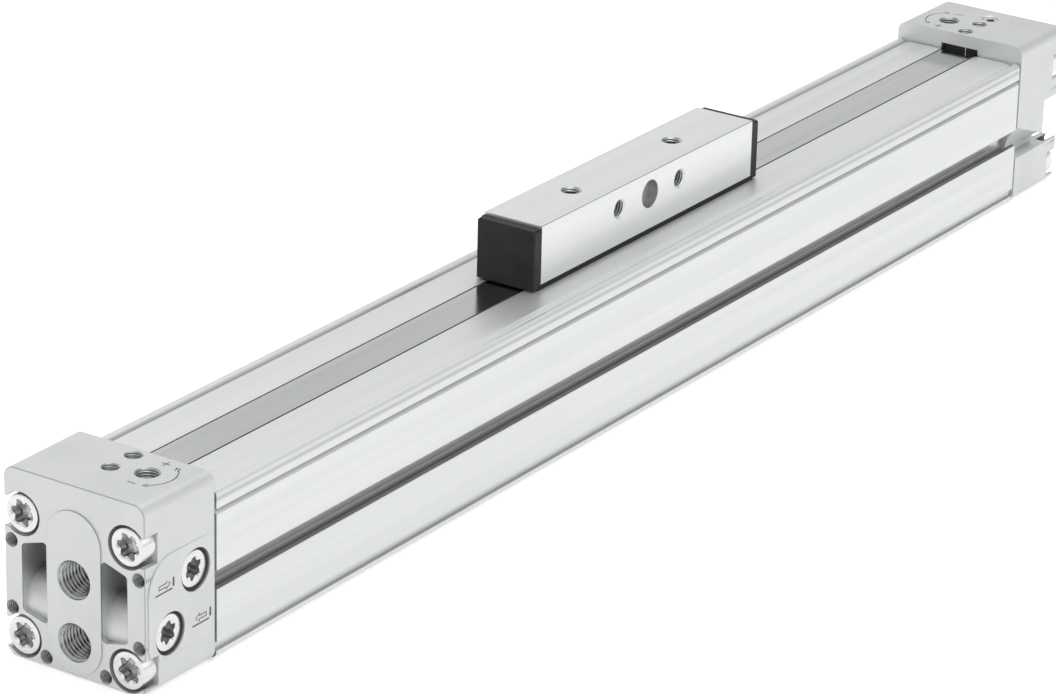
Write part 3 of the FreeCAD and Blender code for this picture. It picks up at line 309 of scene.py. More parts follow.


# Finishes: colour patches between dark and light, patch and grain as (scale, stretch) of their
# noise, bumps as (scale, stretch, depth), the range of roughness, the colour and radius of edges,
# whose mark is partly wear and partly painted highlight and shade, and the recess as the painted
# shade in hollows: (reach, share of the colour left in it, openness that keeps all of it)
finishes = {
    "anodised_barrel": dict(
        dark=(0.76, 0.77, 0.77), light=(0.83, 0.84, 0.835), metallic=0.72, rough=(0.36, 0.48),
        patch=(260.0, along_x), grain=(2600.0, along_x),
        bumps=[(2200.0, along_x, 0.02 * mm), (5200.0, even, 0.006 * mm)],
        edge=grey(0.74), edge_radius=0.18 * mm, recess_shade=(4.0 * mm, 0.55, 0.80)),
    "cast_cap": dict(
        dark=(0.69, 0.70, 0.70), light=(0.74, 0.75, 0.745), metallic=0.75, rough=(0.42, 0.56),
        patch=(90.0, even), grain=(2200.0, even),
        bumps=[(2600.0, even, 0.02 * mm), (700.0, even, 0.01 * mm)],
        edge=grey(0.50), edge_radius=0.22 * mm, recess_shade=(11.0 * mm, 0.34, 0.38)),
    "slider_aluminium": dict(
        dark=(0.83, 0.84, 0.84), light=(0.89, 0.895, 0.89), metallic=0.80, rough=(0.30, 0.42),
        patch=(300.0, along_x), grain=(3200.0, along_x),
        bumps=[(2600.0, along_x, 0.02 * mm), (5200.0, even, 0.006 * mm)],
        edge=grey(0.36), edge_radius=0.22 * mm, recess_shade=(6.0 * mm, 0.20, 0.6)),
    # Thread faces darker than the metal they are cut in: painted shade in the holes
    "shaded_thread": dict(
        dark=(0.42, 0.43, 0.43), light=(0.49, 0.50, 0.50), metallic=1.0, rough=(0.24, 0.32),
        patch=(900.0, even), grain=(3200.0, even), bumps=[(1800.0, even, 0.002 * mm)],
        edge=grey(0.70), edge_radius=0.03 * mm, recess_shade=(3.0 * mm, 0.06, 0.76)),
    # Engraved grooves darker than the cap's own finish: painted shade
    "shaded_engraving": dict(
        dark=grey(0.50), light=grey(0.58), metallic=0.75, rough=(0.40, 0.50),
        patch=(900.0, even), grain=(3200.0, even), bumps=[(1800.0, even, 0.002 * mm)],
        edge=grey(0.54), edge_radius=0.03 * mm, recess_shade=(2.0 * mm, 0.5, 0.6)),
    # Centring bores in a darker grey: painted shade in a shallow hole
    "shaded_bore": dict(
        dark=grey(0.46), light=grey(0.54), metallic=0.8, rough=(0.30, 0.40),
        patch=(900.0, even), grain=(3200.0, even), bumps=[(1800.0, even, 0.002 * mm)],
        edge=grey(0.50), edge_radius=0.03 * mm, recess_shade=(3.0 * mm, 0.6, 0.6)),
    # Darker copy of steel for socket insides and screws sunk in holes: painted shade
    "shaded_socket_steel": dict(
        dark=grey(0.47), light=(0.66, 0.66, 0.65), metallic=1.0, rough=(0.12, 0.22),
        patch=(500.0, even), grain=(2500.0, even), bumps=[(3500.0, even, 0.004 * mm)],
        edge=grey(0.80), edge_radius=0.1 * mm, recess_shade=(3.0 * mm, 0.40, 0.6)),
    "inner_aluminium": dict(
        dark=(0.68, 0.69, 0.70), light=(0.76, 0.77, 0.78), metallic=0.95, rough=(0.26, 0.38),
        patch=(200.0, even), grain=(3000.0, even), bumps=[(4000.0, even, 0.01 * mm)],
        edge=grey(0.88), edge_radius=0.2 * mm),
    "band_steel": dict(
        dark=(0.57, 0.585, 0.58), light=(0.67, 0.685, 0.68), metallic=1.0, rough=(0.10, 0.20),
        patch=(220.0, along_x), grain=(3400.0, along_x), bumps=[(3000.0, along_x, 0.006 * mm)],
        edge=(0.75, 0.76, 0.76), edge_radius=0.08 * mm),
    "bright_steel": dict(
        dark=(0.74, 0.74, 0.73), light=(0.84, 0.84, 0.83), metallic=1.0, rough=(0.14, 0.24),
        patch=(500.0, even), grain=(2500.0, even), bumps=[(3500.0, even, 0.006 * mm)],
        edge=grey(0.80), edge_radius=0.12 * mm, recess_shade=(2.0 * mm, 0.30, 0.5)),
    "plug_steel": dict(
        dark=(0.74, 0.74, 0.72), light=(0.83, 0.83, 0.81), metallic=1.0, rough=(0.16, 0.28),
        patch=(500.0, even), grain=(2500.0, even), bumps=[(3500.0, even, 0.006 * mm)],
        edge=grey(0.80), edge_radius=0.12 * mm, recess_shade=(2.0 * mm, 0.30, 0.5)),
    "black_plastic": dict(
        dark=(0.009, 0.010, 0.010), light=(0.017, 0.018, 0.017), metallic=0.0,
        rough=(0.36, 0.48), patch=(180.0, even), grain=(1800.0, even),
        bumps=[(4200.0, even, 0.01 * mm)], edge=grey(0.05), edge_radius=0.2 * mm, specular=0.3),
    "guide_plastic": dict(
        dark=grey(0.006), light=(0.012, 0.012, 0.011), metallic=0.0,
        rough=(0.45, 0.60), patch=(180.0, even), grain=(1800.0, even),
        bumps=[(3600.0, even, 0.01 * mm)], edge=grey(0.03), edge_radius=0.2 * mm, specular=0.25),
    "black_rubber": dict(
        dark=grey(0.012), light=grey(0.02), metallic=0.0, rough=(0.60, 0.75),
        patch=(300.0, even), grain=(1500.0, even), bumps=[(3000.0, even, 0.02 * mm)],
        edge=grey(0.03), edge_radius=0.1 * mm),
    # Lighter copies of black rubber for the gaskets: painted light on their joint lines
    "near_gasket_lit_rubber": dict(
        dark=grey(0.11), light=grey(0.15), metallic=0.0, rough=(0.60, 0.75),
        patch=(300.0, even), grain=(1500.0, even), bumps=[(3000.0, even, 0.02 * mm)],
        edge=grey(0.17), edge_radius=0.1 * mm),
    "far_gasket_lit_rubber": dict(
        dark=grey(0.42), light=grey(0.50), metallic=0.0, rough=(0.55, 0.70),
        patch=(300.0, even), grain=(1500.0, even), bumps=[(3000.0, even, 0.02 * mm)],
        edge=grey(0.55), edge_radius=0.1 * mm),
    "felt": dict(
        dark=(0.09, 0.09, 0.085), light=(0.15, 0.15, 0.14), metallic=0.0, rough=(0.85, 0.95),
        patch=(900.0, even), grain=(3000.0, even), bumps=[(6000.0, felt_fibre, 0.1 * mm)],
        edge=(0.16, 0.16, 0.15), edge_radius=0.2 * mm),
    "magnet": dict(
        dark=(0.07, 0.065, 0.065), light=(0.11, 0.10, 0.10), metallic=0.1, rough=(0.45, 0.6),
        patch=(500.0, even), grain=(2500.0, even), bumps=[(3500.0, even, 0.02 * mm)],
        edge=(0.14, 0.13, 0.13), edge_radius=0.2 * mm),
}


def new_material(name):
    """Material, its node tree and its shader."""
    material = bpy.data.materials.new(name)
    material.use_nodes = True
    tree = material.node_tree
    return material, tree, tree.nodes["Principled BSDF"]


def add(tree, kind, **values):
    """Node with its properties and unlinked inputs set."""
    node = tree.nodes.new(kind)
    for name, value in values.items():
        if name in node.inputs:
            node.inputs[name].default_value = value
        else:
            setattr(node, name, value)
    return node


def feed(tree, socket, value):
    """Set an input to a number or a colour, or link it to an output."""
    if isinstance(value, float):
        socket.default_value = value
    elif isinstance(value, tuple):
        socket.default_value = (*value, 1.0)
    else:
        tree.links.new(value, socket)


def calc(tree, operation, first, second=0.0):
    """Result of a maths node on two outputs or numbers."""
    node = add(tree, "ShaderNodeMath", operation=operation)
    feed(tree, node.inputs[0], first)
    feed(tree, node.inputs[1], second)
    return node.outputs[0]


def product(tree, first, *others):
    """Product of outputs and numbers."""
    for other in others:
        first = calc(tree, "MULTIPLY", first, other)
    return first


def remap(tree, value, low, high, new_low, new_high):
    """Map a value from one range to another."""
    node = add(tree, "ShaderNodeMapRange")
    tree.links.new(value, node.inputs["Value"])
    node.inputs["From Min"].default_value = low
    node.inputs["From Max"].default_value = high
    node.inputs["To Min"].default_value = new_low
    node.inputs["To Max"].default_value = new_high
    return node.outputs["Result"]


def mixed(tree, share, first, second):
    """Mix of two colours; sockets 6 and 7 of the node take them and output 2 gives it."""
    node = add(tree, "ShaderNodeMix", data_type="RGBA")
    tree.links.new(share, node.inputs["Factor"])
    feed(tree, node.inputs[6], first)
    feed(tree, node.inputs[7], second)
    return node.outputs[2]


def dimmed(tree, colour, share):
    """Colour times a share."""
    node = add(tree, "ShaderNodeVectorMath", operation="SCALE")
    tree.links.new(colour, node.inputs[0])
    tree.links.new(share, node.inputs["Scale"])
    return node.outputs["Vector"]


def noise(tree, scale, stretch, detail=3.0, roughness=0.6):
    """Noise in the object's own space, stretched along one axis or even."""
    coords = add(tree, "ShaderNodeTexCoord")
    place = add(tree, "ShaderNodeMapping", Scale=stretch)
    tree.links.new(coords.outputs["Object"], place.inputs["Vector"])
    texture = add(tree, "ShaderNodeTexNoise", Scale=scale, Detail=detail, Roughness=roughness)
    tree.links.new(place.outputs["Vector"], texture.inputs["Vector"])
    return texture.outputs["Fac"]


def rounded_normal(tree, radius):
    """Normal that runs smoothly over sharp edges, and how much it turns there."""
    bevel = add(tree, "ShaderNodeBevel", Radius=radius, samples=edge_samples)
    geometry = add(tree, "ShaderNodeNewGeometry")
    agreement = add(tree, "ShaderNodeVectorMath", operation="DOT_PRODUCT")
    tree.links.new(bevel.outputs["Normal"], agreement.inputs[0])
    tree.links.new(geometry.outputs["Normal"], agreement.inputs[1])
    return bevel.outputs["Normal"], remap(tree, agreement.outputs["Value"], *edge_turn, 0.0, 1.0)


def bumped(tree, heights, normal):
    """Chain of bumps, each (height, distance), on a normal."""
    for height, distance in heights:
        bump = add(tree, "ShaderNodeBump", Distance=distance, Strength=1.0)
        tree.links.new(height, bump.inputs["Height"])
        tree.links.new(normal, bump.inputs["Normal"])
        normal = bump.outputs["Normal"]
    return normal


def shaded(tree, colour, reach, shade, clear):
    """Colour with painted shade inside the object's own recesses, down to a share of it."""
    around = add(tree, "ShaderNodeAmbientOcclusion", Distance=reach, samples=recess_samples,
                 only_local=True)
    openness = remap(tree, around.outputs["AO"], recess_openness, clear, shade, 1.0)
    return dimmed(tree, colour, openness)


def surface(name, dark, light, patch, grain, bumps, rough, metallic, edge, edge_radius,
            recess_shade=None, specular=0.5):
    """Material of a finish: patches, grain in the roughness, bumps, edges and recesses.

    The edges are partly worn and partly painted light and shade; the recesses get painted shade.
    """
    material, tree, shader = new_material(name)
    normal, worn_and_lit = rounded_normal(tree, edge_radius)
    patches = remap(tree, noise(tree, *patch, detail=4.0), *noise_range, 0.0, 1.0)
    base = mixed(tree, patches, dark, light)
    broken = remap(tree, noise(tree, wear_and_light_grain, even, 2.0, 0.55), *wear_and_light_range, wear_and_light_least, 1.0)
    # Edge colour, partly wear and partly painted light: a painted highlight where it is lighter,
    # a painted dark line where it is darker
    colour = mixed(tree, product(tree, worn_and_lit, broken), base, edge)
    # Painted shade in the object's own recesses
    if recess_shade:
        colour = shaded(tree, colour, *recess_shade)
    tree.links.new(colour, shader.inputs["Base Color"])
    fine = remap(tree, noise(tree, *grain), *noise_range, *rough)
    tree.links.new(fine, shader.inputs["Roughness"])
    heights = [(noise(tree, scale, stretch), depth) for scale, stretch, depth in bumps]
    tree.links.new(bumped(tree, heights, normal), shader.inputs["Normal"])
    shader.inputs["Metallic"].default_value = metallic
    shader.inputs["Specular IOR Level"].default_value = specular
    return material


def whereabouts(tree):
    """Distances from the middle along X and Y, and the height, in the object's own space."""
    coords = add(tree, "ShaderNodeTexCoord")
    place = add(tree, "ShaderNodeSeparateXYZ")
    tree.links.new(coords.outputs["Object"], place.inputs[0])
    along = calc(tree, "ABSOLUTE", place.outputs["X"])
    aside = calc(tree, "ABSOLUTE", place.outputs["Y"])
    return along, aside, place.outputs["Z"]


def stripe(tree, value, centre, half, loss):
    """Loss that fades to nothing on both sides of a centre."""
    gap = calc(tree, "ABSOLUTE", calc(tree, "SUBTRACT", value, centre))
    return remap(tree, gap, 0.0, half, loss, 0.0)


def lose(tree, *losses):
    """Take losses of painted shade away from the colour of the tree's shader; a negative loss
    adds painted light.
    """
    base = tree.nodes["Principled BSDF"].inputs["Base Color"]
    share = 1.0
    for loss in losses:
        share = calc(tree, "SUBTRACT", share, loss)
    tree.links.new(dimmed(tree, base.links[0].from_socket, share), base)


def shade_barrel(material):
    """Painted shade and light in the T-slots, and painted shade stripes along the bead.

    The slots are darkest at their floor, have painted light near their top and painted shade on
    their lips.
    """
    tree = material.node_tree
    _, aside, height = whereabouts(tree)
    level = calc(tree, "SUBTRACT", height, slot_middle)
    off_middle = calc(tree, "ABSOLUTE", level)
    inside = product(tree, calc(tree, "LESS_THAN", aside, slot_lip_y),
                     calc(tree, "LESS_THAN", off_middle, slot_reach))
    # Painted shade inside the slot, darkest at its floor, turning to painted light near its top
    dimming = remap(tree, level, slot_dark_z, slot_light_z, slot_dark_loss, slot_light_loss)
    lip = product(tree, calc(tree, "GREATER_THAN", aside, slot_lip_y),
                  calc(tree, "LESS_THAN", aside, slot_mouth_y),
                  calc(tree, "LESS_THAN", off_middle, slot_mouth_reach))
    # Painted shade stripes along the bead's valley and flank
    on_bead = calc(tree, "GREATER_THAN", height, bead_foot)
    on_flank = calc(tree, "GREATER_THAN", aside, flank_y)
    lose(tree, product(tree, inside, dimming), product(tree, lip, slot_lip_loss),
         product(tree, on_bead, stripe(tree, aside, valley_y, valley_half, valley_loss)),
         product(tree, on_flank, stripe(tree, height, flank_z, flank_half, flank_loss)))


def line_rims(material):
    """Painted dark line, as painted shade, round all that rises or opens at the caps' outer
    faces.
    """
    tree = material.node_tree
    along, _, _ = whereabouts(tree)
    at_face = calc(tree, "GREATER_THAN", along, cap_face - pad_step - rim_width)
    facet = add(tree, "ShaderNodeSeparateXYZ")
    geometry = add(tree, "ShaderNodeNewGeometry")
    tree.links.new(geometry.outputs["Normal"], facet.inputs[0])
    turned = calc(tree, "LESS_THAN", calc(tree, "ABSOLUTE", facet.outputs["X"]), rim_turn)
    lose(tree, product(tree, at_face, turned, rim_loss))


def line_crests(material):
    """Painted dark line, as painted shade, along the slider's two upper edges."""
    tree = material.node_tree
    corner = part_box("slider_block")[1]
    _, aside, height = whereabouts(tree)
    at_side = calc(tree, "GREATER_THAN", aside, corner.y - crest_width)
    at_top = calc(tree, "GREATER_THAN", height, corner.z - crest_width)
    lose(tree, product(tree, at_side, at_top, crest_loss))


def dress_nodes(materials):
    """Give each carried-over node the finish of its material slot, or its own."""
    for row in frame["record"]["subparts"]:
        finish = finish_of_node.get(row["node"], row["material_slot"])
        for holder in frame["nodes"][row["node"]].material_slots:
            holder.material = materials[finish]


def placed(name, mesh):
    """Object in the scene with a mesh."""
    made = bpy.data.objects.new(name, mesh)
    bpy.context.scene.collection.objects.link(made)
    return made


def solid_object(name, points, faces, material):
    """Object of closed forms whose faces are turned outward."""
    mesh = bpy.data.meshes.new(name)
    mesh.from_pydata([tuple(p) for p in points], [], faces)
    outward = bmesh.new()
    outward.from_mesh(mesh)
    bmesh.ops.recalc_face_normals(outward, faces=outward.faces)
    outward.to_mesh(mesh)
    outward.free()
    mesh.materials.append(material)
    return placed(name, mesh)


def mesh_piece(name, points, faces, material, crease=piece_crease):
    """Piece of the scene, smooth up to an angle, in its material slot."""
    piece = solid_object(name, points, faces, material)
    piece.data.shade_smooth()
    piece.data.set_sharp_from_angle(angle=radians(crease))
    return piece


def skinned(loops, ends=True):
    """Skin over equal loops of points, its two ends filled or joined to each other."""
    count = len(loops[0])
    last = count * (len(loops) - 1)
    points = [p for one in loops for p in one]
    pairs = [(a, a + count) for a in range(0, last, count)]
    if not ends:
        pairs.append((last, 0))
    faces = []
    for a, b in pairs:
        for i in range(count):
            j = (i + 1) % count
            faces.append((a + i, a + j, b + j, b + i))
    if ends:
        faces.append(tuple(range(count))[::-1])
        faces.append(tuple(range(last, last + count)))
    return points, faces


def joined(parts):
    """Points and faces of several parts as one."""
    points = []
    faces = []
    for some_points, some_faces in parts:
        start = len(points)
        points += some_points
        faces += [tuple(start + i for i in face) for face in some_faces]
    return points, faces


def scaled(line):
    """A line drawn in millimetres, in metres."""
    return [(x * mm, y * mm) for x, y in line]


def facing(place, direction):
    """Matrix at a place whose Z axis points in a direction."""
    turn = Vector(direction).to_track_quat("Z", "Y").to_matrix().to_4x4()
    return Matrix.Translation(Vector(place)) @ turn


def end_frames():
    """The near cap's own frame, and the far cap's, turned half round."""
    near = Matrix.Translation((-cap_face, 0.0, 0.0))
    return {"near": near, "far": Matrix.Rotation(pi, 4, "Z") @ near}


def ring_point(place, along, radius, turn):
    """Point round the Z axis of a placing matrix."""
    return place @ Vector((radius * cos(turn), radius * sin(turn), along))


def loop(place, along, radius, count, lobes=None, share=0.0):
    """Points round the Z axis of a placing matrix, pulled by a share into six lobes."""
    points = []
    for k in range(count):
        turn = 2.0 * pi * k / count
        reach = radius
        if lobes:
            wave = (lobes[0] + lobes[1]) / 4.0 + (lobes[0] - lobes[1]) / 4.0 * cos(6.0 * turn)
            reach = radius + (wave - radius) * share
        points.append(ring_point(place, along, reach, turn))
    return points


def thread_cutter(place, thread):
    """Solid that cuts a threaded hole with its mouth, going in along the place's Z axis."""
    minor, major, pitch, mouth, depth, count = thread
    rings = int(depth / pitch * thread_steps)
    loops = [loop(place, -hole_overhang, mouth + cut_play, count)]
    for k in range(rings + 1):
        along = depth * k / rings
        fade = min(1.0, (depth - along) / pitch)
        points = []
        for i in range(count):
            phase = (along / pitch - i / count) % 1.0
            tooth = tooth_slope * (1.0 - abs(2.0 * phase - 1.0)) - tooth_valley
            tooth = min(1.0, max(0.0, tooth))
            reach = minor + cut_play + (major - minor) * tooth * fade
            reach = max(reach, mouth + cut_play - along)
            points.append(ring_point(place, along, reach, 2.0 * pi * i / count))
        loops.append(points)
    return skinned(loops)


def ribbon(place, line, stroke, shut=False):
    """Cutter for an engraved line of (x, y) points in the place's plane, mitred at corners."""
    width, depth = stroke
    loops = []
    for k, spot in enumerate(line):
        here = Vector(spot)
        before = Vector(line[k - 1]) if k > 0 or shut else None
        after = Vector(line[(k + 1) % len(line)]) if k < len(line) - 1 or shut else None
        entering = (here - before).normalized() if before is not None else None
        leaving = (after - here).normalized() if after is not None else None
        run = ((entering or leaving) + (leaving or entering)).normalized()
        across = Vector((-run.y, run.x))
        arriving = entering or run
        agreement = across.dot(Vector((-arriving.y, arriving.x)))
        aside = across * width / 2.0 / max(mitre_limit, agreement)
        corners = ((here + aside, -line_overhang), (here - aside, -line_overhang),
                   (here - aside, depth), (here + aside, depth))
        loops.append([place @ Vector((corner.x, corner.y, along)) for corner, along in corners])
    return skinned(loops, not shut)


def side_signs(end, side):
    """Cutters of the two port signs on one side of a cap: a bar, a line and a hollow arrow."""
    face = Matrix(((1, 0, 0, 0), (0, 0, -side, side * cap_side), (0, 1, 0, 0), (0, 0, 0, 1)))
    place = end @ face
    cuts = []
    for spot, height, start, way in port_signs:
        bar = [(spot + x, height + y) for x, y in sign_bar]
        line = [(spot + x, height + y) for x, y in sign_line]
        arrow = [(start + way * x, height + arrow_height + y) for x, y in sign_arrow]
        cuts.append(ribbon(place, scaled(bar), bar_line))
        cuts.append(ribbon(place, scaled(line), full_line))
        cuts.append(ribbon(place, scaled(arrow), arrow_line, True))
    return cuts


def top_signs(end):
    """Cutters of the curved double arrow, the plus and the minus round a cushion screw.

    They come in two sets, because lines that cross are cut one after the other.
    """
    face = Matrix(((1, 0, 0, 0), (0, -1, 0, 0), (0, 0, -1, cap_top), (0, 0, 0, 1)))
    place = end @ face
    centre = Vector((needle_x, -needle_y))
    arc = []
    for k in range(arc_steps + 1):
        turn = radians(arc_start + arc_turn * k / arc_steps)
        arc.append(centre + Vector((cos(turn), sin(turn))) * arc_radius)
    first = [ribbon(place, arc, thin_line)]
    second = []
    for spot, way in ((arc[0], -1.0), (arc[-1], 1.0)):
        out = (spot - centre).normalized()
        run = Vector((-out.y, out.x)) * way
        tip = spot + run * barb_tip
        back = tip - run * barb_length
        barbs = [back + out * barb_half, tip, back - out * barb_half]
        second.append(ribbon(place, barbs, crossing_line))
    along = Vector((sign_arm, 0.0))
    across = Vector((0.0, sign_arm))
    first.append(ribbon(place, [plus_spot - along, plus_spot + along], thin_line))
    second.append(ribbon(place, [plus_spot - across, plus_spot + across], crossing_line))
    first.append(ribbon(place, [minus_spot - across, minus_spot + across], thin_line))
    return first, second


def cap_threads(end, near):
    """Cutters of a cap's threaded holes."""
    cuts = []
    inward = (1, 0, 0)
    down = (0, 0, -1)
    if near:
        for z in port_heights:
            cuts.append(thread_cutter(end @ facing((0, 0, z), inward), port_thread))
    for y, z in small_holes:
        for side in (-1.0, 1.0):
            place = end @ facing((pad_step, side * y, z), inward)
            cuts.append(thread_cutter(place, small_thread))
    cushion = end @ facing((needle_x, needle_y, cap_top), down)
    cuts.append(thread_cutter(cushion, cushion_thread))
    for x in clamp_spots:
        cuts.append(thread_cutter(end @ facing((x, 0, cap_top), down), clamp_thread))
    return cuts


def sharpen(mesh, rounds):
    """Tighten rounded edges: each is (two axes, where its arc is centred, old and new radius)."""
    for (first, second), centre, old, new in rounds:
        middle = Vector(centre)
        outward = Vector((1.0 if middle.x > 0.0 else -1.0, 1.0 if middle.y > 0.0 else -1.0))
        for corner in mesh.vertices:
            spot = Vector((corner.co[first], corner.co[second])) - middle
            beside = min(spot.x * outward.x, spot.y * outward.y) < -edge_slack
            if beside or spot.length < old / 2.0:
                continue
            reach = spot.length - old + new
            moved = middle + outward * (old - new) + spot.normalized() * reach
            corner.co[first] = moved.x
            corner.co[second] = moved.y


def refined_copy(node, name, sets, rounds=(), lowered=None):
    """Copy of a CAD node with sets of fine cuts and their finish, which stands for it.

    rounds are edges to tighten; lowered is (a height, how far all above it comes down).
    """
    mesh = bpy.data.meshes.new_from_object(frame["nodes"][node])
    joining = bmesh.new()
    joining.from_mesh(mesh)
    bmesh.ops.remove_doubles(joining, verts=joining.verts, dist=corner_join)
    joining.to_mesh(mesh)
    joining.free()
    sharpen(mesh, rounds)
    for corner in mesh.vertices:
        if lowered and corner.co.z > lowered[0]:
            corner.co.z -= lowered[1]
    if mesh.has_custom_normals:
        mesh.attributes.remove(mesh.attributes["custom_normal"])
    piece = placed(name, mesh)
    tools = []
    for cuts, finish in sets:
        tools.append(solid_object(name + "_cuts", *joined(cuts), finish))
        cut = piece.modifiers.new("cut", "BOOLEAN")
        cut.operation = "DIFFERENCE"
        cut.solver = "EXACT"
        cut.material_mode = "TRANSFER"
        cut.object = tools[-1]
    bpy.context.view_layer.update()
    evaluated = piece.evaluated_get(bpy.context.evaluated_depsgraph_get())
    result = bpy.data.meshes.new_from_object(evaluated)
    piece.modifiers.clear()
    piece.data = result
    result.name = name
    for tool in tools:
        bpy.data.objects.remove(tool)
    result.shade_smooth()
    result.set_sharp_from_angle(angle=radians(cut_crease))
    even_out = piece.modifiers.new("even_shading", "WEIGHTED_NORMAL")
    even_out.keep_sharp = True
    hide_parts(node)
    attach(piece, body_name(node))


def body_name(node):
    """Name of the body that a CAD node rides on."""
    bodies = frame["record"]["behaviour"]["bodies"]
    return next(body for body, nodes in bodies.items() if node in nodes)


def make_caps(materials):
    """Both caps with threads and engraved signs."""
    for name, end in end_frames().items():
        near = name == "near"
        lines, crossing = top_signs(end)
        if near:
            for side in (-1.0, 1.0):
                lines += side_signs(end, side)
        sets = [(cap_threads(end, near), materials["shaded_thread"]),
                (lines, materials["shaded_engraving"]), (crossing, materials["shaded_engraving"])]
        refined_copy("end_cap_" + name, "cap_" + name, sets)


def make_slider(materials):
    """Slider block with its threads, its rim plates and end covers, all with crisp edges."""
    low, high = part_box("slider_block")
    middle = (low.x + high.x) / 2.0
    side_z = high.z - side_hole_drop
    cuts = []
    bores = []
    crests = []
    for x in (-top_hole_x, top_hole_x):
        cuts.append(thread_cutter(facing((middle + x, 0, high.z), (0, 0, -1)), top_thread))
    for x in (-side_hole_x, side_hole_x):
        for side in (-1.0, 1.0):
            place = facing((middle + x, side * high.y, side_z), (0, -side, 0))
            cuts.append(thread_cutter(place, side_thread))
    for side in (-1.0, 1.0):
        place = facing((middle, side * high.y, side_z), (0, -side, 0))
        bores.append(skinned([loop(place, along, centring_radius + cut_play, centring_count)
                              for along in (-hole_overhang, centring_depth + cut_play)]))
        crests.append(((1, 2), (side * (high.y - slider_round), high.z - slider_round),
                       slider_round, slider_crisp))
    sets = [(cuts, materials["shaded_thread"]), (bores, materials["shaded_bore"])]
    refined_copy("slider_block", "slider_body", sets, crests)
    lowered = (high.z - black_crest, black_drop)
    for end, way in (("near", -1.0), ("far", 1.0)):
        refined_copy("slider_rim_" + end, "rim_plate_" + end, [], crests,
                     lowered)
        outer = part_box("slider_cover_" + end)[0 if way < 0.0 else 1].x
        corners = [((0, 1), (outer - way * cover_round, side * (high.y - cover_round)),
                    cover_round, cover_crisp) for side in (-1.0, 1.0)]
        refined_copy("slider_cover_" + end, "end_cover_" + end, [], corners,
                     lowered)


def turned_skin(place, socket, profile):
    """Skin with a six-lobed socket in its face, and a profile going in along the place's Z."""
    radius, rim, depth, lobes = socket
    loops = [
        loop(place, depth, socket_centre, socket_count),
        loop(place, depth - socket_rise, radius, socket_count, lobes, floor_lobes),
        loop(place, depth - socket_wall, radius, socket_count, lobes, 1.0),
        loop(place, rim, radius, socket_count, lobes, 1.0),
        loop(place, 0.0, radius + rim, socket_count, lobes, rim_lobes),
    ]
    for along, reach in scaled(profile):
        loops.append(loop(place, along, reach, socket_count))
    return skinned(loops)


def turned_set(name, node, skins, steel, materials):
    """Piece of several turned skins, the inside of their sockets in a darker copy of the steel,
    as painted shade.
    """
    points, faces = joined(skins)
    piece = mesh_piece(name, points, faces, materials[steel], turned_crease)
    piece.data.materials.append(materials["shaded_socket_steel"])
    wall_faces = 3 * socket_count
    start = 0
    for _, some_faces in skins:
        socket_floor = len(some_faces) - 2
        for k in [*range(wall_faces), socket_floor]:
            piece.data.polygons[start + k].material_index = 1
        start += len(some_faces)
    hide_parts(node)
    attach(piece, "barrel")


def make_screws(materials):
    """Cap screws and side plugs with six-lobed sockets, and black rings on the floors of the
    plugs' seats.
    """
    ends = end_frames()
    for name, end in ends.items():
        skins = []
        for side, z, degrees in screw_spots:
            place = end @ facing((screw_sink, side * screw_y, z), (1, 0, 0))
            turn = Matrix.Rotation(radians(degrees), 4, "Z")
            skins.append(turned_skin(place @ turn, screw_socket, screw_profile))
        turned_set("cap_screw_set_" + name, "cap_screws_" + name, skins, "bright_steel",
                   materials)
    skins = []
    rings = []
    for x, z, degrees in plug_spots:
        for side in (-1.0, 1.0):
            spot = (x, side * (cap_side - plug_sink), z)
            place = ends["near"] @ facing(spot, (0, -side, 0))
            turn = Matrix.Rotation(radians(degrees), 4, "Z")
            skins.append(turned_skin(place @ turn, plug_socket, plug_profile))
            rings.append(skinned([loop(place, along, radius, seat_ring_count)
                                  for radius, along in scaled(seat_ring_section)], False))
    points, faces = joined(rings)
    piece = mesh_piece("plug_seat_rings_near", points, faces, materials["black_rubber"])
    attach(piece, "barrel")
    turned_set("side_plug_set_near", "side_port_plugs_near", skins, "plug_steel", materials)


def strip_skin(stations, width, thick, middle=0.0):
    """Strip through (x, z) stations, z being its lower face."""
    loops = []
    for k, (x, z) in enumerate(stations):
        before = Vector(stations[max(k - 1, 0)])
        after = Vector(stations[min(k + 1, len(stations) - 1)])
        run = (after - before).normalized()
        up = Vector((-run.y, run.x)) * thick
        left = middle - width / 2.0
        right = middle + width / 2.0
        loops.append([(x, left, z), (x, right, z), (x + up.x, right, z + up.y),
                      (x + up.x, left, z + up.y)])
    return skinned(loops)


def smooth_rise(x_foot, x_flat, low, high):
    """Stations of an S-shaped rise from the seat to the flat top."""
    stations = []
    for k in range(bend_steps + 1):
        t = k / bend_steps
        ease = t * t * (3.0 - 2.0 * t)
        stations.append((x_foot + (x_flat - x_foot) * t, low + (high - low) * ease))
    return stations


def make_band(name, node, flat, foot, peak, material):
    """A band as two straight stretches and the bent one that travels inside the slider.

    The seal band dips, so its seat is at the top of its box, and the cover band's at the foot.
    """
    low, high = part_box(node)
    width = high.y - low.y - 2.0 * band_play
    block_low, block_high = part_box("slider_block")
    middle = (block_low.x + block_high.x) / 2.0
    seat = high.z - band_thick if peak < low.z + band_thick else low.z
    bent = smooth_rise(middle - foot, middle - flat, seat, peak)
    bent += [(2.0 * middle - x, z) for x, z in reversed(bent)]
    points, faces = strip_skin(bent, width, band_thick)
    moving = mesh_piece(name + "_in_slider", points, faces, material)
    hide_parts(node)
    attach(moving, "slider")
    for end, outer, inner in (("near", low.x, middle - foot), ("far", high.x, middle + foot)):
        stations = sorted([(outer, seat), (inner, seat)])
        points, faces = strip_skin(stations, width, band_thick)
        piece = mesh_piece(name + "_" + end, points, faces, material)
        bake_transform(piece)


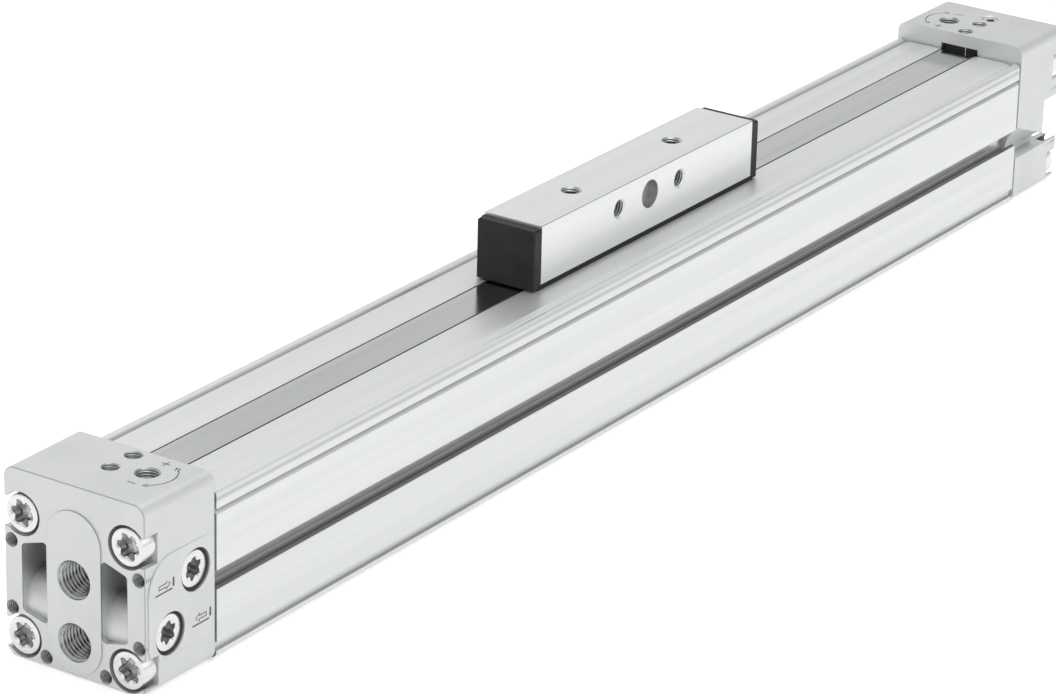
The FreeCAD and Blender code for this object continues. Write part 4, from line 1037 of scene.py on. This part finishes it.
def make_bands(materials):
    """Outer cover band and inner seal band."""
    steel = materials["band_steel"]
    cover_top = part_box("outer_cover_band")[1].z - band_thick
    seal_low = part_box("inner_seal_band")[0].z
    make_band("cover_band", "outer_cover_band", band_lift_flat, band_lift_foot, cover_top, steel)
    make_band("seal_band", "inner_seal_band", seal_dip_flat, seal_dip_foot, seal_low, steel)


def make_band_gap_shade_strips(materials):
    """Dark strips along both edges of the cover band's seat, standing in for the shade in the
    gaps there.
    """
    low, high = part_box("outer_cover_band")
    parts = []
    for side, foot in shade_strip_feet:
        middle = side * (high.y - shade_strip_width / 2.0 + shade_strip_outward)
        stations = [(low.x, foot), (high.x, foot)]
        parts.append(strip_skin(stations, shade_strip_width, shade_strip_thick, middle))
    points, faces = joined(parts)
    piece = mesh_piece("band_gap_shade_strips", points, faces, materials["guide_plastic"])
    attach(piece, "barrel")


def make_clamp_joint(materials):
    """Light filler in the joint across the far clamp's face."""
    low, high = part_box("band_clamp_far")
    foot = low.z + joint_margins[0]
    top = high.z - joint_margins[1]
    loops = []
    for x, inset in zip(joint_x, (joint_inset, 0.0)):
        left = joint_y[0] + inset
        right = joint_y[1] - inset
        loops.append([(low.x + x, y, z)
                      for y, z in ((left, foot), (right, foot), (right, top), (left, top))])
    points, faces = skinned(loops)
    piece = mesh_piece("clamp_joint_far", points, faces, materials["bright_steel"])
    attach(piece, "barrel")


def make_floor():
    """Plain pale floor that keeps the shadow."""
    corners = ((-1.0, -1.0), (1.0, -1.0), (1.0, 1.0), (-1.0, 1.0))
    mesh = bpy.data.meshes.new("floor")
    mesh.from_pydata([(x * floor_half, y * floor_half, 0.0) for x, y in corners], [],
                     [(0, 1, 2, 3)])
    floor = placed("floor", mesh)
    floor.location.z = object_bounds()[0][2] - floor_gap
    material, tree, shader = new_material("floor_paper")
    shader.inputs["Base Color"].default_value = (*floor_colour, 1.0)
    shader.inputs["Roughness"].default_value = floor_roughness
    shader.inputs["Specular IOR Level"].default_value = floor_specular
    shader.inputs["Emission Color"].default_value = (1.0, 1.0, 1.0, 1.0)
    path = add(tree, "ShaderNodeLightPath")
    seen = product(tree, path.outputs["Is Camera Ray"], floor_glow)
    reflected = product(tree, path.outputs["Is Glossy Ray"], floor_glow_reflected)
    tree.links.new(calc(tree, "ADD", seen, reflected), shader.inputs["Emission Strength"])
    floor.data.materials.append(material)


def make_world():
    """Soft studio surroundings with their dark flag."""
    world = bpy.data.worlds.new("studio")
    bpy.context.scene.world = world
    world.use_nodes = True
    tree = world.node_tree
    coords = add(tree, "ShaderNodeTexCoord")
    split = add(tree, "ShaderNodeSeparateXYZ")
    tree.links.new(coords.outputs["Generated"], split.inputs[0])
    height = remap(tree, split.outputs["Z"], 0.0, zenith_height, 0.0, 1.0)
    colour = mixed(tree, height, horizon_colour, zenith_colour)
    toward = add(tree, "ShaderNodeVectorMath", operation="DOT_PRODUCT")
    tree.links.new(coords.outputs["Generated"], toward.inputs[0])
    toward.inputs[1].default_value = flag_direction
    flag = remap(tree, toward.outputs["Value"], flag_rim, flag_core, 0.0, 1.0)
    background = tree.nodes["Background"]
    tree.links.new(mixed(tree, flag, colour, flag_colour), background.inputs["Color"])
    background.inputs["Strength"].default_value = world_strength


def make_lights():
    """Large soft boxes above and to the sides, all facing the origin."""
    for name, place, width, height, power in lamps:
        data = bpy.data.lights.new(name, "AREA")
        data.shape = "RECTANGLE"
        data.size = width
        data.size_y = height
        data.energy = power
        lamp = placed(name, data)
        lamp.location = place
        lamp.rotation_euler = (-Vector(place)).to_track_quat("-Z", "Y").to_euler()


def make_camera():
    """Camera at the photograph's viewing angle and framing."""
    data = bpy.data.cameras.new("camera")
    data.sensor_width = sensor_width
    data.lens = focal_pixels / image_width * sensor_width
    data.shift_x = (image_width / 2.0 - principal_x) / image_width
    data.shift_y = (principal_y - image_height / 2.0) / image_width
    data.clip_start = camera_near
    data.clip_end = camera_far
    around = radians(camera_azimuth)
    below = radians(camera_below)
    forward = Vector((cos(below) * cos(around), cos(below) * sin(around), -sin(below)))
    right = forward.cross(Vector((0.0, 0.0, 1.0))).normalized()
    up = right.cross(forward)
    turn = Matrix.Rotation(radians(camera_roll), 3, -forward)
    pose = Matrix((turn @ right, turn @ up, -forward)).transposed().to_4x4()
    pose.translation = camera_place
    camera = placed("camera", data)
    camera.matrix_world = pose
    bpy.context.scene.camera = camera


make_camera()
make_world()
make_lights()
make_floor()
materials = {name: surface(name + "_finish", **values) for name, values in finishes.items()}
shade_barrel(materials["anodised_barrel"])
line_crests(materials["slider_aluminium"])
line_rims(materials["cast_cap"])
dress_nodes(materials)
make_bands(materials)
make_band_gap_shade_strips(materials)
make_clamp_joint(materials)
make_caps(materials)
make_slider(materials)
make_screws(materials)
bpy.context.scene.view_settings.view_transform = "Standard"
